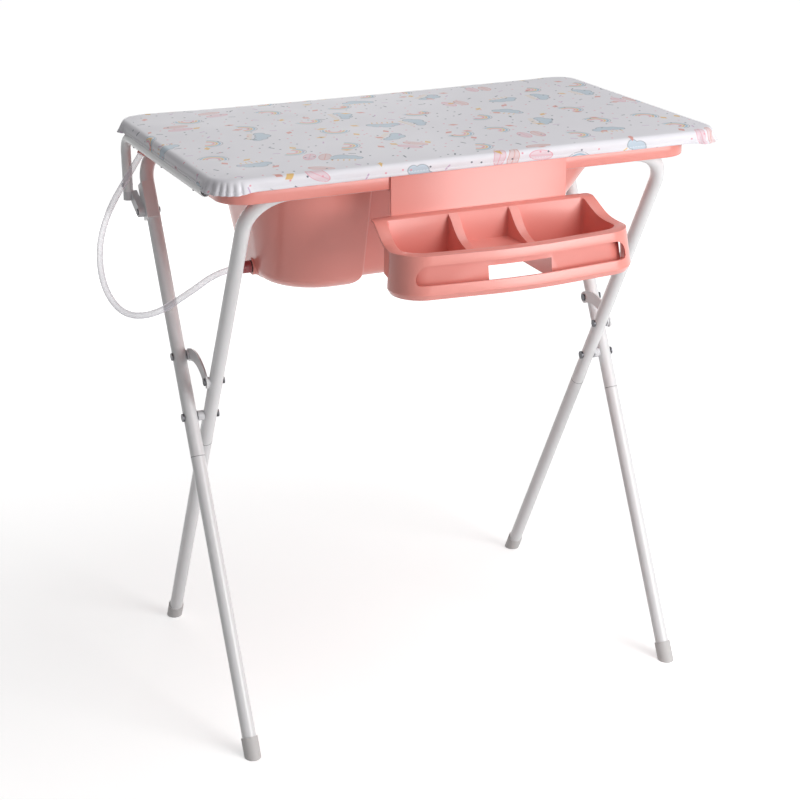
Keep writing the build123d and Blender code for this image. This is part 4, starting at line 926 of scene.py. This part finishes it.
SEAM_Z, PIVOT_Z, FOOT_Y = 0.420, 0.476, {"front": -0.240, "rear": 0.265}
SEAM_INNER_R, SEAM_OUTER_R = 0.0105, 0.01125
SEAM_PROFILE = ((-0.0005, SEAM_INNER_R), (-0.0003, SEAM_OUTER_R), (0.0003, SEAM_OUTER_R),
                (0.0005, SEAM_INNER_R))


def leg_seam(end, side, material):
    """Thin dark joint line where a lower leg plugs into its upper tube."""
    low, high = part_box(f"{end}_lower_leg_{side}")
    pivot = Vector(((low.x + high.x) / 2, PIVOT_Y, PIVOT_Z))
    foot = Vector((pivot.x, PIVOT_Y + FOOT_Y[end], 0.0))
    ring = lathe(f"{end}_seam_{side}", SEAM_PROFILE, foot.lerp(pivot, SEAM_Z / PIVOT_Z), pivot - foot)
    finish_piece(ring, material, "frame")


class CHANGING_OT_finishes(bpy.types.Operator):
    """Gives every carried-over part of the frame its own finish"""
    bl_idname = "changing.finishes"
    bl_label = "Frame finishes"

    def execute(self, context):
        settings = context.scene.changing_frame
        tub = context.scene.changing_tub
        paint = moulded("White powder coat", settings.paint, 0.30, grain=900.0, bump=0.10, mottle=0.03,
                        coat=0.25, coat_roughness=0.15)
        steel = moulded("Zinc plated steel", settings.steel, 0.32, grain=1500.0, bump=0.10, mottle=0.15,
                        metallic=1.0)
        cap = moulded("Grey moulded plastic", settings.cap, 0.55, grain=1200.0, bump=0.20)
        white = moulded("White moulded plastic", (0.66, 0.66, 0.68), 0.42, grain=1100.0, bump=0.12)
        dark = moulded("Outlet plastic", tub.outlet, 0.35, grain=900.0, bump=0.10, coat=0.2)
        rubber = moulded("Black rubber", (0.03, 0.03, 0.03), 0.7, grain=1600.0, bump=0.3)
        pink = moulded("Clip plastic", tub.pink, 0.35, grain=500.0, bump=0.06, coat=0.2)
        board = moulded("Hardboard", settings.board, 0.75, grain=1800.0, bump=0.4, mottle=0.35)
        joint = moulded("Joint line", (0.10, 0.10, 0.11), 0.6, grain=1500.0, bump=0.2)
        finishes = {"rear_upper_frame": paint, "front_upper_frame": paint, "changing_board": board,
                    "top_screws": steel, "drain_gasket": rubber, "drain_outlet": dark, "hose_clip": pink}
        pairs = {paint: ("front_lower_leg", "rear_lower_leg", "lock_link", "hinge_bracket", "top_side_tube"),
                 cap: ("front_foot_cap", "rear_foot_cap"),
                 steel: ("pivot_rivet", "link_rivet", "link_stud", "hinge_rivet", "block_rivet"),
                 white: ("pivot_spacer", "link_washers", "hinge_block")}
        for material, stems in pairs.items():
            finishes.update({f"{stem}_{side}": material for stem in stems for side in SIDES})
        for node, material in finishes.items():
            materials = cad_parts[node].data.materials
            materials.clear()
            materials.append(material)
        for side in SIDES:
            for end in FOOT_Y:
                leg_seam(end, side, joint)
        return {"FINISHED"}


# Stage

LAMPS = (("front_lamp", (1.5, -2.8, 1.3), (0.1, 0.0, 0.75), 1.7, "front_power"),
         ("top_lamp", (0.9, -0.9, 3.0), (0.1, 0.0, 0.7), 2.2, "top_power"),
         ("back_lamp", (0.4, 3.0, 1.1), (0.0, 0.0, 0.7), 2.0, "back_power"))
FLOOR_HALF, SHADOW_NEAR, SHADOW_FAR, GLOW_NEAR, GLOW_FAR = 14.0, 0.7, 3.2, 0.50, 0.80


class CHANGING_OT_stage(bpy.types.Operator):
    """Sets up the camera, the lamps, the white surroundings and the floor"""
    bl_idname = "changing.stage"
    bl_label = "Stage"

    def execute(self, context):
        settings = context.scene.changing_stage
        scene = context.scene
        scene.view_settings.view_transform = "Standard"
        camera = bpy.data.objects.new("camera", bpy.data.cameras.new("camera"))
        camera.data.lens = settings.lens
        camera.location = settings.camera_place
        camera.rotation_euler = settings.camera_turn
        scene.collection.objects.link(camera)
        scene.camera = camera
        for name, place, target, size, power in LAMPS:
            self.lamp(scene, name, place, target, size, getattr(settings, power))
        self.surroundings(scene, settings)
        self.floor(settings)
        return {"FINISHED"}

    def lamp(self, scene, name, place, target, size, power):
        light = bpy.data.lights.new(name, "AREA")
        light.shape = "SQUARE"
        light.size = size
        light.energy = power
        lamp = bpy.data.objects.new(name, light)
        lamp.location = place
        lamp.rotation_euler = (Vector(target) - Vector(place)).to_track_quat("-Z", "Y").to_euler()
        scene.collection.objects.link(lamp)

    def seen(self, graph):
        """1 for rays that show the background: straight, in a reflection or through glass."""
        rays = graph.add("ShaderNodeLightPath").outputs
        direct = graph.math("MAXIMUM", rays["Is Camera Ray"], rays["Is Glossy Ray"])
        return graph.math("MAXIMUM", direct, rays["Is Transmission Ray"])

    def surroundings(self, scene, settings):
        """Even light from all round, seen as white."""
        world = bpy.data.worlds.new("white_surroundings")
        world.use_nodes = True
        graph = Graph(world.node_tree)
        background = world.node_tree.nodes["Background"]
        background.inputs["Color"].default_value = (1.0, 1.0, 1.0, 1.0)
        strength = graph.ramp(self.seen(graph), 0.0, 1.0, settings.world_strength, 1.0)
        graph.link(strength, background, "Strength")
        scene.world = world

    def floor(self, settings):
        """Pale floor with a painted glow, seen as white further off and dimmed near the table as a painted
        shade, where it keeps the shadow.
        """
        corners = [(x * FLOOR_HALF, y * FLOOR_HALF, 0.0) for x, y in SQUARE]
        ground = mesh_object("studio_floor", corners, [(0, 1, 2, 3)])
        material, graph, shader = new_material("Studio floor")
        shader.inputs["Base Color"].default_value = (*settings.floor_colour, 1.0)
        shader.inputs["Roughness"].default_value = 0.9
        shader.inputs["Specular IOR Level"].default_value = 0.0
        shader.inputs["Emission Color"].default_value = (1.0, 1.0, 1.0, 1.0)
        apart = graph.length(graph.add("ShaderNodeNewGeometry").outputs["Position"])
        # Painted glow: full white further off, dimmer near the table as a painted shade round it
        glow = graph.ramp(apart, SHADOW_NEAR, SHADOW_FAR, GLOW_NEAR, GLOW_FAR)
        graph.link(graph.math("MULTIPLY", self.seen(graph), glow), shader, "Emission Strength")
        ground.data.materials.append(material)


class CHANGING_PT_panel(bpy.types.Panel):
    """Lists the settings and the operators"""
    bl_label = "Changing table"
    bl_idname = "CHANGING_PT_panel"
    bl_space_type = "VIEW_3D"
    bl_region_type = "UI"
    bl_category = "Changing table"

    def draw(self, context):
        for holder, kind in SETTINGS:
            box = self.layout.box()
            box.label(text=kind.__doc__)
            for name in kind.__annotations__:
                box.prop(getattr(context.scene, holder), name)
        for operator in OPERATORS:
            self.layout.operator(operator.bl_idname)


SETTINGS = (("changing_stage", StageSettings), ("changing_mat", MatSettings), ("changing_tub", TubSettings),
            ("changing_frame", FrameSettings))
OPERATORS = (CHANGING_OT_stage, CHANGING_OT_hose, CHANGING_OT_mat, CHANGING_OT_tub, CHANGING_OT_finishes)


def register():
    for holder, kind in SETTINGS:
        bpy.utils.register_class(kind)
        setattr(bpy.types.Scene, holder, PointerProperty(type=kind))
    for kind in (*OPERATORS, CHANGING_PT_panel):
        bpy.utils.register_class(kind)


def unregister():
    for kind in (CHANGING_PT_panel, *reversed(OPERATORS)):
        bpy.utils.unregister_class(kind)
    for holder, kind in reversed(SETTINGS):
        delattr(bpy.types.Scene, holder)
        bpy.utils.unregister_class(kind)


def main():
    register()
    for operator in OPERATORS:
        group, name = operator.bl_idname.split(".")
        getattr(getattr(bpy.ops, group), name)()


if __name__ == "__main__":
    main()
